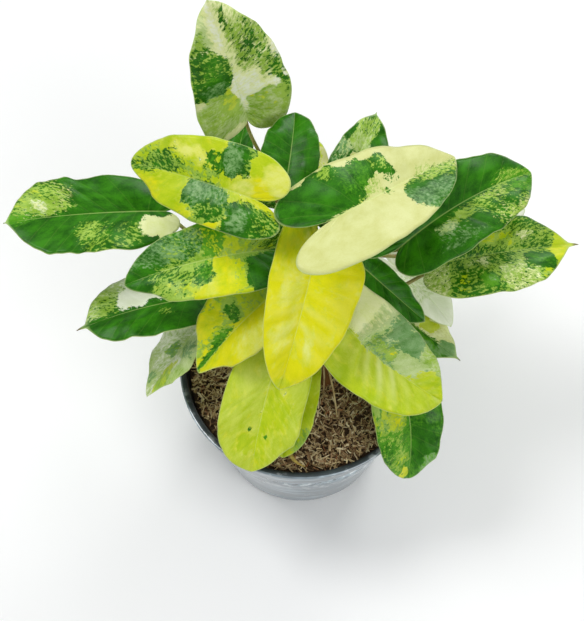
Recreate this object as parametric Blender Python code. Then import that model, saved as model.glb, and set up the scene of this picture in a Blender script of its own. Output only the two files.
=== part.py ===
"""Potted variegated philodendron: a round nursery pot of soft black plastic, filled with chopped
husk, and three short stems that carry long-stalked, heart-based leaves on curved stalks.

Metres, +Z up. The origin is the centre of the pot's flat base. -Y is the plant's front.
"""

import math
from typing import NamedTuple

import bmesh
import bpy
from mathutils import Matrix, Vector, noise

MM = 0.001
GAP = 0.3 * MM

# Pot: outer sizes and walls
RIM_RADIUS = 83.5 * MM
FOOT_RADIUS = 60 * MM
POT_HEIGHT = 112 * MM
WALL = 1.4 * MM
FLOOR = 2.0 * MM
BAND_HEIGHT = 8 * MM
BAND_STEP = 1.2 * MM
LIP_WIDTH = 2.4 * MM
LIP_DEPTH = 2.4 * MM
FOOT_CURVE = 3 * MM
POT_SIDES = 40

# Drainage holes round the edge of the floor
DRAINS = 8
DRAIN_RADIUS = 4.5 * MM
DRAIN_CIRCLE = 46 * MM

# Husk fill
SOIL_TOP = 103 * MM
SOIL_RINGS = 8
SOIL_RELIEF = 1.6 * MM
SOIL_GRAIN = 90.0

# Stems, leaf stalks and roots
STEM_RADIUS = 4.8 * MM
STEM_KNOT = 0.8 * MM
KNOT_SPACING = 11 * MM
STEM_BURIED = 24 * MM
STEM_SIDES = 10
BUD_LENGTH = 16 * MM
STALK_FOOT_RADIUS = 2.7 * MM
STALK_RADIUS = 1.7 * MM
STALK_TIP_RADIUS = 1.2 * MM
STALK_SIDES = 6
STALK_STEPS = 8
STALK_REACH = 2.0 * MM
# How a stalk leaves its stem, outwards and upwards, and how far its curve is pulled at each end
STALK_OUT = 0.55
STALK_UP = 0.85
FOOT_PULL = 0.4
TIP_PULL = 0.35
ROOT_RADIUS = 1.0 * MM
ROOT_SIDES = 6
ROOT_STEPS = 7
ROOT_BURIED = 6 * MM

# Blades
BLADE_THICKNESS = 0.8 * MM
BLADE_FOLD = 8.0
LOBE_POINTS = 5
EDGE_POINTS = 8
BLADE_STRIPS = 2
MIDRIB_STEPS = 40
VEIN_LEAN = 1.7
WAVE_COUNT = 3.0
WAVE_HEIGHT = 1.0 * MM
WAVE_START = 10 * MM
# Outline controls, as shares of lobe, width or length
LOBE_PULL = 1.33
LOBE_SHARE = 0.17
NOTCH_WIDTH = 0.12
SHOULDER = 0.45
NEAR_TIP = 0.88
NEAR_TIP_WIDTH = 0.45
TIP_WIDTH = 0.015


class Stem(NamedTuple):
    """A stem: where it leaves the husk and where its growing tip is, in mm."""

    foot: tuple
    top: tuple


class Leaf(NamedTuple):
    """One leaf. Lengths are in mm, angles in degrees.

    base is where stalk and blade meet. heading turns from +X towards +Y, pitch is the rise of the
    midrib at the base and droop how far it has bent down at the tip. roll lifts the left edge.
    left and right are half widths, and the lobes reach back behind the base. arrive tells how
    steeply the stalk comes up under the blade, and bow pushes its upper part aside.
    """

    name: str
    stem: str
    rise: float
    base: tuple
    length: float
    heading: float
    pitch: float
    roll: float
    droop: float
    sway: float
    left: float
    right: float
    left_lobe: float
    right_lobe: float
    widest: float
    fullness: float
    colour: str
    arrive: float = 0.5
    bow: tuple = (0, 0)


STEMS = {
    "stem_left": Stem((-26, 6), (-34, 30, 166)),
    "stem_front": Stem((16, -8), (13, 4, 160)),
    "stem_rear": Stem((6, 36), (8, 60, 170)),
}

LEAVES = (
    Leaf("leaf_rear_tall", "stem_rear", 0.9, (-37, 128, 225), 96, 131, 72, -10, 8, 1,
         34, 35, 6, 15, 0.16, 1.4, "mottled"),
    Leaf("leaf_upper_left", "stem_rear", 0.97, (-30, 37, 268), 95, 159, 4, -36, 36, 11,
         26, 30, 21, 19, 0.16, 1.3, "lime", 0.9, (8, 36)),
    Leaf("leaf_far_left", "stem_left", 0.7, (-92, 71, 200), 107, 190, 16, 0, 12, 3,
         33, 27, 5, 8, 0.45, 1.8, "green"),
    Leaf("leaf_mid_left", "stem_left", 0.85, (-24, 28, 222), 95, 190, 5, -13, 27, 9,
         28, 25, 15, 23, 0.17, 1.7, "mottled", 0.9),
    Leaf("leaf_low_left", "stem_left", 0.45, (-61, 24, 168), 94, 191, 8, 5, 23, 6,
         25, 25, 5, 8, 0.38, 1.3, "green"),
    Leaf("leaf_centre_yellow", "stem_front", 0.95, (9, 24, 236), 98, -102, -17, -18, 35, 1,
         34, 27, 4, 23, 0.18, 1.3, "yellow", 0.9),
    Leaf("leaf_front_left", "stem_left", 0.6, (-18, 9, 201), 77, -142, -16, -6, 33, 3,
         24, 29, 16, 4, 0.28, 0.8, "lime", 0.8),
    Leaf("leaf_upper_right", "stem_rear", 0.95, (19, 28, 260), 107, 36, -7, 4, 16, 4,
         33, 36, 33, 41, 0.10, 1.25, "cream", 1.0),
    Leaf("leaf_rear_right", "stem_rear", 0.8, (28, 85, 210), 59, 61, 23, 7, 29, 9,
         17, 21, 14, 14, 0.2, 1.1, "mottled"),
    Leaf("leaf_rear_small", "stem_rear", 0.85, (-11, 80, 220), 55, 79, 25, 3, 39, 8,
         20, 20, 13, 13, 0.25, 1.4, "green"),
    Leaf("leaf_right", "stem_rear", 0.85, (65, 41, 205), 110, 37, 18, 8, 38, -14,
         28, 31, 22, 11, 0.3, 1.5, "green", 1.0),
    Leaf("leaf_far_right", "stem_front", 0.6, (93, 44, 178), 100, 9, 6, 4, 24, 4,
         26, 32, 22, 13, 0.28, 0.9, "mottled"),
    Leaf("leaf_under_right", "stem_rear", 0.75, (92, 66, 164), 72, 25, 12, 0, 28, 0,
         19, 19, 12, 12, 0.2, 1.1, "cream"),
    Leaf("leaf_pale_right", "stem_rear", 0.35, (62, 60, 150), 62, -43, 4, -15, 32, 0,
         18, 20, 12, 12, 0.3, 1.3, "cream"),
    Leaf("leaf_low_right", "stem_front", 0.3, (62, 30, 140), 60, -40, -6, -5, 8, 6,
         19, 20, 11, 11, 0.3, 1.0, "lime"),
    Leaf("leaf_inner_right", "stem_rear", 0.55, (37, 37, 190), 61, -35, -24, -6, 6, 4,
         13, 18, 10, 10, 0.3, 1.4, "green", 0.7),
    Leaf("leaf_front_right", "stem_front", 0.7, (23, -2, 186), 92, -45, -19, 5, 18, 25,
         31, 31, 22, 22, 0.3, 1.6, "lime", 0.8),
    Leaf("leaf_hanging_right", "stem_front", 0.15, (68, -30, 139), 72, -74, -24, -3, 52, -14,
         23, 26, 17, 17, 0.24, 1.4, "mottled"),
    Leaf("leaf_front_lime", "stem_front", 0.5, (-15, -17, 166), 86, -110, -21, -17, 30, 16,
         27, 29, 22, 6, 0.5, 1.8, "lime", 0.8),
    Leaf("leaf_front_under", "stem_front", 0.3, (-1, -8, 139), 70, -102, -7, 2, 27, 1,
         18, 21, 6, 14, 0.4, 1.9, "lime", 0.7),
    Leaf("leaf_sage_left", "stem_left", 0.25, (-67, 16, 150), 66, -130, -16, 22, 11, -4,
         19, 18, 11, 14, 0.45, 1.0, "cream"),
    Leaf("leaf_inner_rear", "stem_left", 0.6, (-48, 89, 185), 59, 85, 30, -13, 29, -3,
         17, 15, 13, 13, 0.2, 0.8, "green"),
    Leaf("leaf_inner_centre", "stem_rear", 0.7, (-18, 50, 188), 50, 141, 20, 0, 28, 0,
         14, 9, 10, 7, 0.2, 1.1, "green", 0.8),
    Leaf("leaf_back_left", "stem_rear", 0.3, (-28, 101, 160), 93, 154, 8, 0, 28, 0,
         26, 26, 20, 20, 0.2, 1.1, "mottled"),
    Leaf("leaf_back_right", "stem_rear", 0.4, (30, 88, 165), 92, 39, 3, 0, 28, 0,
         26, 26, 20, 20, 0.2, 1.1, "green"),
    Leaf("leaf_back_centre", "stem_rear", 0.5, (6, 98, 158), 72, 96, 14, 0, 28, 0,
         20, 20, 15, 15, 0.2, 1.1, "mottled"),
)

# Aerial roots: the stem each springs from, then its start, a middle point and its end in the husk
ROOTS = (
    ("stem_front", (14, -7, 132), (16, -15, 122), (15, -17, 103)),
    ("stem_front", (17, -8, 128), (22, -24, 122), (24, -37, 103)),
    ("stem_front", (13, -8, 120), (11, -13, 115), (9, -15, 103)),
    ("stem_left", (-24, 5, 125), (-33, -2, 118), (-36, -6, 103)),
    ("stem_rear", (4, 38, 128), (10, 50, 120), (12, 54, 103)),
)

COLOURS = {
    "green": (0.035, 0.13, 0.012),
    "mottled": (0.22, 0.38, 0.07),
    "lime": (0.46, 0.60, 0.03),
    "yellow": (0.70, 0.70, 0.01),
    "cream": (0.72, 0.74, 0.40),
}
POT_COLOUR = (0.010, 0.011, 0.013)
SOIL_COLOUR = (0.11, 0.065, 0.035)
STEM_COLOUR = (0.16, 0.17, 0.04)


def clear_scene():
    for thing in list(bpy.data.objects):
        bpy.data.objects.remove(thing, do_unlink=True)


def material(name, colour, roughness):
    made = bpy.data.materials.new(name)
    made.use_nodes = True
    shader = made.node_tree.nodes["Principled BSDF"]
    shader.inputs["Base Color"].default_value = (*colour, 1.0)
    shader.inputs["Roughness"].default_value = roughness
    shader.inputs["Metallic"].default_value = 0.0
    return made


def finish(form, name, look, smooth=True):
    """Turn a bmesh into a named object with its material."""
    bmesh.ops.recalc_face_normals(form, faces=form.faces)
    mesh = bpy.data.meshes.new(name)
    form.to_mesh(mesh)
    form.free()
    if smooth:
        mesh.shade_smooth()
        mesh.set_sharp_from_angle(angle=math.radians(40))
    mesh.materials.append(look)
    made = bpy.data.objects.new(name, mesh)
    bpy.context.scene.collection.objects.link(made)
    return made


def apply_boolean(target, cutters, operation):
    """Join or cut target with a list of closed objects, then remove them."""
    group = bpy.data.collections.new(target.name + "_tools")
    bpy.context.scene.collection.children.link(group)
    for cutter in cutters:
        bpy.context.scene.collection.objects.unlink(cutter)
        group.objects.link(cutter)
    step = target.modifiers.new("join", "BOOLEAN")
    step.operation = operation
    step.operand_type = "COLLECTION"
    step.collection = group
    step.solver = "EXACT"
    bpy.context.view_layer.update()
    ready = target.evaluated_get(bpy.context.evaluated_depsgraph_get())
    mesh = bpy.data.meshes.new_from_object(ready)
    target.modifiers.clear()
    target.data = mesh
    for cutter in list(group.objects):
        bpy.data.objects.remove(cutter, do_unlink=True)
    bpy.data.collections.remove(group)


def turned(profile, sides):
    """Spin a profile of (radius, height) points, both ends on the axis, into a closed solid."""
    form = bmesh.new()
    points = [form.verts.new((radius, 0, height)) for radius, height in profile]
    edges = [form.edges.new(pair) for pair in zip(points, points[1:])]
    bmesh.ops.spin(form, geom=points + edges, cent=(0, 0, 0), axis=(0, 0, 1),
                   angle=2 * math.pi, steps=sides)
    bmesh.ops.remove_doubles(form, verts=form.verts, dist=0.01 * MM)
    return form


def wall_radius(height):
    """Outer radius of the pot's tapered wall at a height."""
    return FOOT_RADIUS + (RIM_RADIUS - BAND_STEP - FOOT_RADIUS) * height / POT_HEIGHT


def pot():
    band_low = POT_HEIGHT - BAND_HEIGHT
    lip_low = POT_HEIGHT - LIP_DEPTH
    inner = wall_radius(POT_HEIGHT) - WALL
    profile = [
        (0, FLOOR),
        (wall_radius(FLOOR) - WALL, FLOOR),
        (inner, POT_HEIGHT),
        (RIM_RADIUS + LIP_WIDTH * 0.5, POT_HEIGHT),
        (RIM_RADIUS + LIP_WIDTH * 0.8, POT_HEIGHT - LIP_DEPTH * 0.4),
        (RIM_RADIUS + LIP_WIDTH * 0.5, lip_low),
        (wall_radius(lip_low) + BAND_STEP, lip_low - 0.6 * MM),
        (wall_radius(band_low) + BAND_STEP, band_low + 0.8 * MM),
        (wall_radius(band_low), band_low),
        (wall_radius(FOOT_CURVE), FOOT_CURVE),
        (FOOT_RADIUS - FOOT_CURVE * 0.3, FOOT_CURVE * 0.3),
        (FOOT_RADIUS - FOOT_CURVE, 0),
        (0, 0),
    ]
    made = finish(turned(profile, POT_SIDES), "pot", material("black_plastic", POT_COLOUR, 0.45))
    drains = []
    for n in range(DRAINS):
        angle = 2 * math.pi * (n + 0.5) / DRAINS
        place = Matrix.Translation((DRAIN_CIRCLE * math.cos(angle), DRAIN_CIRCLE * math.sin(angle), 0))
        form = bmesh.new()
        bmesh.ops.create_cone(form, cap_ends=True, segments=10, radius1=DRAIN_RADIUS,
                              radius2=DRAIN_RADIUS, depth=4 * FLOOR, matrix=place)
        drains.append(finish(form, "drain", made.active_material))
    apply_boolean(made, drains, "DIFFERENCE")
    return made


def socket(x, y, radius, depth):
    """A plain round cutter for a hole in the husk."""
    form = bmesh.new()
    reach = depth + 4 * SOIL_RELIEF
    place = Matrix.Translation((x, y, SOIL_TOP - depth + reach / 2))
    bmesh.ops.create_cone(form, cap_ends=True, segments=12, radius1=radius, radius2=radius,
                          depth=reach, matrix=place)
    return finish(form, "socket", bpy.data.materials["black_plastic"])


def soil():
    top_radius = wall_radius(SOIL_TOP) - WALL - GAP
    bottom = FLOOR + GAP
    bottom_radius = wall_radius(bottom) - WALL - GAP
    crown = [(top_radius * (n / SOIL_RINGS), SOIL_TOP) for n in range(SOIL_RINGS + 1)]
    form = turned([(0, bottom), (bottom_radius, bottom)] + crown[::-1], POT_SIDES)
    for vert in form.verts:
        if vert.co.z > SOIL_TOP - MM and vert.co.xy.length < top_radius - MM:
            vert.co.z += SOIL_RELIEF * noise.noise(vert.co * SOIL_GRAIN)
    made = finish(form, "soil", material("husk", SOIL_COLOUR, 0.95), smooth=False)
    holes = []
    for stem in STEMS.values():
        x, y = (value * MM for value in stem.foot)
        holes.append(socket(x, y, STEM_RADIUS + 2 * GAP, STEM_BURIED + GAP))
    for _, _, _, end in ROOTS:
        holes.append(socket(end[0] * MM, end[1] * MM, ROOT_RADIUS + 2 * GAP, ROOT_BURIED + GAP))
    apply_boolean(made, holes, "DIFFERENCE")
    return made


def on_curve(a, b, c, d, t):
    """The point at share t of a cubic curve."""
    s = 1 - t
    return a * s ** 3 + b * 3 * s * s * t + c * 3 * s * t * t + d * t ** 3


def bezier(a, b, c, d, steps):
    """Points on a cubic curve, both ends included."""
    return [on_curve(a, b, c, d, n / steps) for n in range(steps + 1)]


def tube(points, radii, sides):
    """A closed round tube along points, each with its own radius."""
    form = bmesh.new()
    rings = []
    across = None
    for n, point in enumerate(points):
        ahead = points[min(n + 1, len(points) - 1)] - points[max(n - 1, 0)]
        ahead.normalize()
        if across is None:
            across = ahead.orthogonal()
        across = (across - ahead * across.dot(ahead)).normalized()
        other = ahead.cross(across)
        ring = []
        for k in range(sides):
            angle = 2 * math.pi * k / sides
            reach = across * math.cos(angle) + other * math.sin(angle)
            ring.append(form.verts.new(point + reach * radii[n]))
        rings.append(ring)
    for low, high in zip(rings, rings[1:]):
        for k in range(sides):
            form.faces.new((low[k], low[(k + 1) % sides], high[(k + 1) % sides], high[k]))
    form.faces.new(rings[0][::-1])
    form.faces.new(rings[-1])
    return form


def vector(triple):
    """A named place in mm as a vector in metres."""
    return Vector(triple) * MM


def stem_line(stem):
    """The stem's middle line above the husk, from foot to growing tip."""
    foot = vector((*stem.foot, SOIL_TOP / MM))
    top = vector(stem.top)
    return foot, foot + Vector((0, 0, (top.z - foot.z) * 0.5)), top - (top - foot) * 0.2, top



def leaf_axes(leaf):
    """The blade's forward, leftward and upward directions at its base."""
    turn = math.radians(leaf.heading)
    rise = math.radians(leaf.pitch)
    tilt = math.radians(leaf.roll)
    forward = Vector((math.cos(turn) * math.cos(rise), math.sin(turn) * math.cos(rise), math.sin(rise)))
    level = Vector((-math.sin(turn), math.cos(turn), 0))
    over = forward.cross(level)
    left = level * math.cos(tilt) + over * math.sin(tilt)
    return forward, left, forward.cross(left)


def stalk(leaf):
    """A leaf stalk: up and out of the stem, then under the base of its blade."""
    forward, _, over = leaf_axes(leaf)
    up = Vector((0, 0, 1))
    start = on_curve(*stem_line(STEMS[leaf.stem]), leaf.rise)
    arrival = (forward * (1 - leaf.arrive) + (over + up) * leaf.arrive * 0.5).normalized()
    lean = math.sqrt(max(0.0, 1 - arrival.dot(over) ** 2))
    below = BLADE_THICKNESS / 2 + GAP + STALK_TIP_RADIUS * lean
    end = vector(leaf.base) + forward * STALK_REACH - over * below
    span = (end - start).length
    away = Vector((end.x - start.x, end.y - start.y, 0)).normalized()
    leave = (away * STALK_OUT + up * STALK_UP).normalized()
    under = end - arrival * span * TIP_PULL + vector((*leaf.bow, 0))
    points = bezier(start, start + leave * span * FOOT_PULL, under, end, STALK_STEPS)
    radii = []
    for n in range(STALK_STEPS + 1):
        t = n / STALK_STEPS
        radii.append(STALK_RADIUS + (STALK_FOOT_RADIUS - STALK_RADIUS) * max(0.0, 1 - 3 * t)
                     - (STALK_RADIUS - STALK_TIP_RADIUS) * t)
    return tube(points, radii, STALK_SIDES)


def root(start, middle, end):
    start, middle, end = vector(start), vector(middle), vector(end)
    points = bezier(start, middle, end + Vector((0, 0, 8 * MM)), end, ROOT_STEPS)
    points.append(end - Vector((0, 0, ROOT_BURIED)))
    return tube(points, [ROOT_RADIUS] * len(points), ROOT_SIDES)


def stems():
    look = material("stem_green", STEM_COLOUR, 0.55)
    for name, stem in STEMS.items():
        foot, low, high, top = stem_line(stem)
        length = (top - foot).length
        steps = round(length / (KNOT_SPACING / 3))
        points = [foot - Vector((0, 0, STEM_BURIED))] + bezier(foot, low, high, top, steps)
        radii = [STEM_RADIUS]
        for n in range(steps + 1):
            knot = STEM_KNOT if n % 3 == 0 and 0 < n else 0
            radii.append(STEM_RADIUS + knot)
        heading = (points[-1] - points[-2]).normalized()
        for share in (0.35, 0.7, 1.0):
            points.append(top + heading * BUD_LENGTH * share)
            radii.append(STEM_RADIUS * (1 - share) + 0.6 * MM)
        body = finish(tube(points, radii, STEM_SIDES), name, look)
        grown = [finish(stalk(leaf), "stalk", look) for leaf in LEAVES if leaf.stem == name]
        grown += [finish(root(*places), "root", look) for owner, *places in ROOTS if owner == name]
        apply_boolean(body, grown, "UNION")


def half_outline(width, lobe, widest, fullness, length):
    """One side of the blade as (along, across) points, from the notch round the lobe to the tip."""
    wide = widest * length
    back = LOBE_PULL * lobe + LOBE_SHARE * wide
    lobe_curve = bezier(Vector((0, 0)), Vector((-back, NOTCH_WIDTH * width)), Vector((-back, width)),
                        Vector((wide, width)), LOBE_POINTS)
    shoulder = wide + SHOULDER * (length - wide)
    near_tip = Vector((NEAR_TIP * length, NEAR_TIP_WIDTH * width * fullness + TIP_WIDTH * length))
    edge_curve = bezier(Vector((wide, width)), Vector((shoulder, width)), near_tip,
                        Vector((length, 0)), EDGE_POINTS)
    return lobe_curve + edge_curve[1:]


def midrib(leaf):
    """Points and local axes along the drooping midrib."""
    forward, left, over = leaf_axes(leaf)
    length = leaf.length * MM
    places = []
    point = vector(leaf.base)
    for n in range(MIDRIB_STEPS + 1):
        share = n / MIDRIB_STEPS
        drop = math.radians(leaf.droop) * share
        swing = math.radians(leaf.sway) * share
        ahead = (forward * math.cos(swing) + left * math.sin(swing)) * math.cos(drop)
        ahead -= over * math.sin(drop)
        side = left * math.cos(swing) - forward * math.sin(swing)
        places.append((point.copy(), ahead, side, ahead.cross(side)))
        point += ahead * (length / MIDRIB_STEPS)
    return places


def on_blade(leaf, places, along, across, edge_share):
    """The place of a flat blade point (metres) on the bent, folded and waved blade, and its normal."""
    length = leaf.length * MM
    share = min(max(along / length, 0.0), 1.0)
    at = share * MIDRIB_STEPS
    n = min(int(at), MIDRIB_STEPS - 1)
    low, high = places[n], places[n + 1]
    point, ahead, side, over = (low[k].lerp(high[k], at - n) for k in range(4))
    fold = math.radians(BLADE_FOLD)
    rise = abs(across) * math.sin(fold)
    wave = WAVE_HEIGHT * math.sin(math.pi * 2 * WAVE_COUNT * share + leaf.heading)
    rise += wave * edge_share ** 2 * min(1.0, abs(across) / WAVE_START)
    spot = point + ahead * min(along, 0.0) + side * across * math.cos(fold) + over * rise
    tilt = -math.copysign(math.sin(fold), across) if abs(across) > 1e-7 else 0.0
    return spot, (over + side * tilt).normalized()


def blade(leaf):
    """A thin closed blade whose two faces are split into triangles in the same way."""
    places = midrib(leaf)
    length = leaf.length * MM
    form = bmesh.new()
    grids = []
    shared = {}
    for side in (1, -1):
        width, lobe = (leaf.left, leaf.left_lobe) if side > 0 else (leaf.right, leaf.right_lobe)
        outline = half_outline(width * MM, lobe * MM, leaf.widest, leaf.fullness, length)
        last = len(outline) - 1
        rows = []
        for n, edge in enumerate(outline):
            rib = Vector((length * (n / last) ** VEIN_LEAN, 0))
            row = []
            for strip in range(BLADE_STRIPS + 1):
                share = strip / BLADE_STRIPS
                flat = rib.lerp(edge, share)
                key = (round(flat.x, 7), round(flat.y * side, 7))
                if key not in shared:
                    spot, normal = on_blade(leaf, places, flat.x, flat.y * side, share)
                    half = normal * (BLADE_THICKNESS / 2)
                    shared[key] = (form.verts.new(spot + half), form.verts.new(spot - half))
                row.append(shared[key])
            rows.append(row)
        grids.append((side, rows))
    for side, rows in grids:
        for low, high in zip(rows, rows[1:]):
            for k in range(BLADE_STRIPS):
                for corner in ((low[k], high[k], high[k + 1]), (low[k], high[k + 1], low[k + 1])):
                    if len({id(pair) for pair in corner}) == 3:
                        form.faces.new([pair[0] for pair in corner][::side])
                        form.faces.new([pair[1] for pair in corner][::-side])
            rim_low, rim_high = low[-1], high[-1]
            form.faces.new((rim_low[0], rim_high[0], rim_high[1]))
            form.faces.new((rim_low[0], rim_high[1], rim_low[1]))
    return form


def leaves():
    looks = {name: material("leaf_" + name, colour, 0.35) for name, colour in COLOURS.items()}
    for leaf in LEAVES:
        finish(blade(leaf), leaf.name, looks[leaf.colour])


clear_scene()
pot()
soil()
stems()
leaves()
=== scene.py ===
"""Dresses the potted variegated philodendron: fine blades with their patches of green, lime, yellow
and cream, smooth stalks and stems, aerial roots, loose husk chips and a scuffed black nursery pot.
"""

import math
import random
from typing import NamedTuple

import bpy
import numpy as np
from mathutils import Matrix, Vector, noise


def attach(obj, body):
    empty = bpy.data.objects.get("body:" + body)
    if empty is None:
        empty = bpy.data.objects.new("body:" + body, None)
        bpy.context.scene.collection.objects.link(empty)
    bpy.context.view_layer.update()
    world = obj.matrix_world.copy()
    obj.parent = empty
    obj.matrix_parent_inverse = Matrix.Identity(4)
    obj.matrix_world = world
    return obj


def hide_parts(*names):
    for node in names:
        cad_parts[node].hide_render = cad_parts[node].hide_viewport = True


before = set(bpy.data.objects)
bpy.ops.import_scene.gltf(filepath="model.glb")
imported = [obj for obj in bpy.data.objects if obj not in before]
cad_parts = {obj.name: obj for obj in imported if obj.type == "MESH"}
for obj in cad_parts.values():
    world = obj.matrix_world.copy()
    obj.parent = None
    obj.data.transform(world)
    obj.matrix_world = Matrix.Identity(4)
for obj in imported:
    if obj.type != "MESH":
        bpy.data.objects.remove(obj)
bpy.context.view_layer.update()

MM = 0.001
BODY = "root"

# The photograph's view: a camera about 1 m from the rim, looking down at 62 degrees
VIEW_RISE = math.radians(62)
VIEW_AIM = Vector((0, 0, 0.112))
VIEW_DISTANCE = 1.0
VIEW_RIGHT = -0.0070
VIEW_UP = 0.0375
VIEW_LENS = 82.78
VIEW_SENSOR = 36

# Soft lights: name, place, size in metres and power in watts
LIGHTS = (
    ("key", (-0.9, 0.4, 1.8), 0.8, 16.0),
    ("fill", (0.9, -1.2, 1.4), 1.2, 12.0),
    ("back", (0.9, 1.6, 1.35), 0.9, 15.0),
)
LIGHT_AIM = Vector((0, 0, 0.15))
SKY_COLOUR = (0.96, 0.98, 1.0, 1.0)
SKY_STRENGTH = 0.5
FLOOR_SIZE = 8

# Pot, in metres
RIM_RADIUS = 83.5 * MM
FOOT_RADIUS = 60 * MM
POT_HEIGHT = 112 * MM
WALL = 1.4 * MM
FLOOR = 2.0 * MM
BAND_HEIGHT = 8 * MM
BAND_STEP = 1.2 * MM
LIP_WIDTH = 2.4 * MM
LIP_DEPTH = 2.4 * MM
FOOT_CURVE = 3 * MM
POT_SIDES = 128
WALL_RINGS = 72
INNER_RINGS = 9
FOOT_WIDTH = 8 * MM
FOOT_RAISE = 1.0 * MM
EASE = 0.2 * MM
SMOOTH_UNDER = math.radians(35)
CREASE_LEVEL = 70 * MM
CREASE_STRAY = 7 * MM
CREASE_DEPTH = 2.0 * MM
CREASE_WIDTH = 3.4 * MM
CREASE_SIDE = Vector((0.4, -0.92, 0))
CREASE_SWAY = 4
DENT_DEPTH = 0.5 * MM
DENT_GRAIN = 45
LIP_WEAR = 0.3
DRAINS = 8
DRAIN_RADIUS = 4.5 * MM
DRAIN_CIRCLE = 46 * MM

# Husk. A chip's length and width are the least, the most and the most usual in mm, and its depth
# the least and the most. A form is how thin the chip's end is, and how far it bends and bends back
SOIL_TOP = 103 * MM
SOIL_GAP = 0.3 * MM
SOIL_RINGS = 54
SOIL_SIDES = 128
CHIPS = 8800
CHIP_LENGTH = (2.8, 9.0, 4.6)
CHIP_WIDTH = (0.5, 2.0, 0.8)
CHIP_DEPTH = (0.3, 0.7)
CHIP_FORMS = ((0.35, 0.9, -0.5), (0.7, -0.7, -0.6), (0.5, 0.4, 1.0))
CHIP_PILE = 1.9
CHIP_SUNK = 0.3
CHIP_TILT = 0.25
CHIP_ROLL = 0.5
RUSTY_SHARE = 0.05
RUSTINESS = 0.6

# The husk's lumps: how high in mm, and how fine
SOIL_LUMPS = ((1.3, 60), (0.8, 160), (0.4, 420))

# Stems, stalks and roots
STEM_RADIUS = 4.8 * MM
STEM_KNOT = 0.8 * MM
KNOT_SPACING = 11 * MM
KNOT_STEPS = 8
KNOT_SHARE = 0.4
STEM_BURIED = 10 * MM
BUD_LENGTH = 16 * MM
BUD_TIP_RADIUS = 0.5 * MM
BUD_AGE = 0.1
STALK_FOOT_RADIUS = 2.7 * MM
STALK_RADIUS = 1.7 * MM
STALK_TIP_RADIUS = 1.2 * MM
STALK_OUT = 0.55
STALK_UP = 0.85
FOOT_PULL = 0.4
TIP_PULL = 0.35
STALK_REACH = 2.0 * MM
STALK_STEPS = 28
CAD_THICKNESS = 0.8 * MM
STALK_GAP = 0.3 * MM
ROOT_RADIUS = 0.75 * MM
ROOT_THINNING = 0.2 * MM
ROOT_DROP = 8 * MM
ROOT_BURIED = 3 * MM
ROOT_STEPS = 16
SHEATH_START = (-9, -63, 106)
SHEATH_END = (2, -75, 106.5)
SHEATH_WIDTH = 1.5 * MM
SHEATH_TIP = 0.15 * MM
SHEATH_BOW = 2.5 * MM
SHEATH_CURL = 0.7 * MM
SHEATH_LIFT = 1.2 * MM
SHEATH_THICKNESS = 0.25 * MM

# Blades
ROWS = 120
STRIPS = 16
RIB_CROWDING = 1.25
BLADE_THICKNESS = 0.5 * MM
BLADE_FOLD = math.radians(8)
LOBE_SHARE_OF_ROWS = 5 / 13
VEIN_LEAN = 1.7
WAVE_COUNT = 3.0
WAVE_HEIGHT = 1.0 * MM
WAVE_START = 10 * MM
FRILL_HEIGHT = 0.6 * MM
FRILL_TURNS = 29
LOBE_PULL = 1.33
LOBE_SHARE = 0.17
NOTCH_WIDTH = 0.12
SHOULDER = 0.45
NEAR_TIP = 0.88
NEAR_TIP_WIDTH = 0.45
TIP_WIDTH = 0.015
DRIP_MIDDLE = 0.87
DRIP_REACH = 0.15
RIPPLES = ((0.020, 37), (0.012, 71))
THREAD_TAPER = 0.22
THREAD_FLARE = 1.1
TIP_BLEND = 5
DRY_SHARE = 0.75
DRY_BLEND = 0.03
DRYNESS = 0.85
MIDRIB_STEPS = 40

# Fine relief of a blade
VEIN_PAIRS = 11
QUILT_HEIGHT = 0.4 * MM
ARCH_HEIGHT = 1.5 * MM
CHANNEL_DEPTH = 0.5 * MM
CHANNEL_WIDTH = 1.0 * MM
KEEL_HEIGHT = 0.9 * MM
KEEL_WIDTH = 1.1 * MM
SWELL_HEIGHT = 1.2 * MM
SWELL_TURNS = (5.1, 7.3)
SWELL_SLANT = 60
MERGE_UNDER = 0.02 * MM
GRAIN_SCALE = 10
ROW_NUDGE = 0.004
LAYOUT = ("along", "across", "row", "reach", "over_x", "over_y", "over_z")
RIB_HALF_WIDTH = 0.75 * MM
VEIN_HALF_WIDTH = 0.4 * MM
MARGIN_WIDTH = 0.6 * MM

# Patches, in shares of the blade's length: how far inside its edge a patch is sure of its tone,
# how much less each further tone of a mixture claims, how squarish a patch is, and how far its
# outline wanders
PATCH_DEPTH = 0.026
HANDICAP = 0.22
PATCH_SQUARENESS = 3.5
WANDER = 0.042
FINE_WANDER = 0.022

TONES = {
    "dark": ("1a5202", "357e06"),
    "green": ("3f850c", "5fa01e"),
    "fresh": ("7ba32a", "a6c652"),
    "sage": ("a6c06c", "c6d698"),
    # A grey green that paints the sheen where glossy blades shine: painted sheen
    "mist": ("5c8e44", "90b478"),
    "lime": ("a4c00c", "bfd020"),
    "pale": ("aec41c", "c4d34a"),
    "yellow": ("d2d200", "dfdb14"),
    "butter": ("d6dc4c", "e0e47c"),
    "cream": ("c9cc80", "d4d894"),
    "ivory": ("dae294", "e8ecb4"),
    "white": ("e2e8cc", "f0f3e0"),
}
TONE_ORDER = list(TONES)

# Tones of one family blend softly, and against another family they show as flecks. Each family has
# the scale and the detail of its flecks, and how sharply its own tones part
FAMILIES = (
    # The grey-green sheen tone is in this family, so the painted sheen blends softly over dark tissue
    (("dark", "green", "mist"), 66.0, 4.0, 0.8),
    (("fresh", "sage", "cream", "ivory", "white"), 66.0, 4.0, 0.8),
    (("lime", "pale", "yellow", "butter"), 26.0, 2.0, 0.3),
)
SHARP_GAIN = 2.6
FLECK_STRENGTH = 4.6
RIB_SHOWS = 0.42
VEIN_SHOWS = 0.08
MARGIN_SHOWS = 0.6


class Stem(NamedTuple):
    """A stem: where it leaves the husk and where its growing tip is, in mm."""

    foot: tuple
    top: tuple


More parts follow.
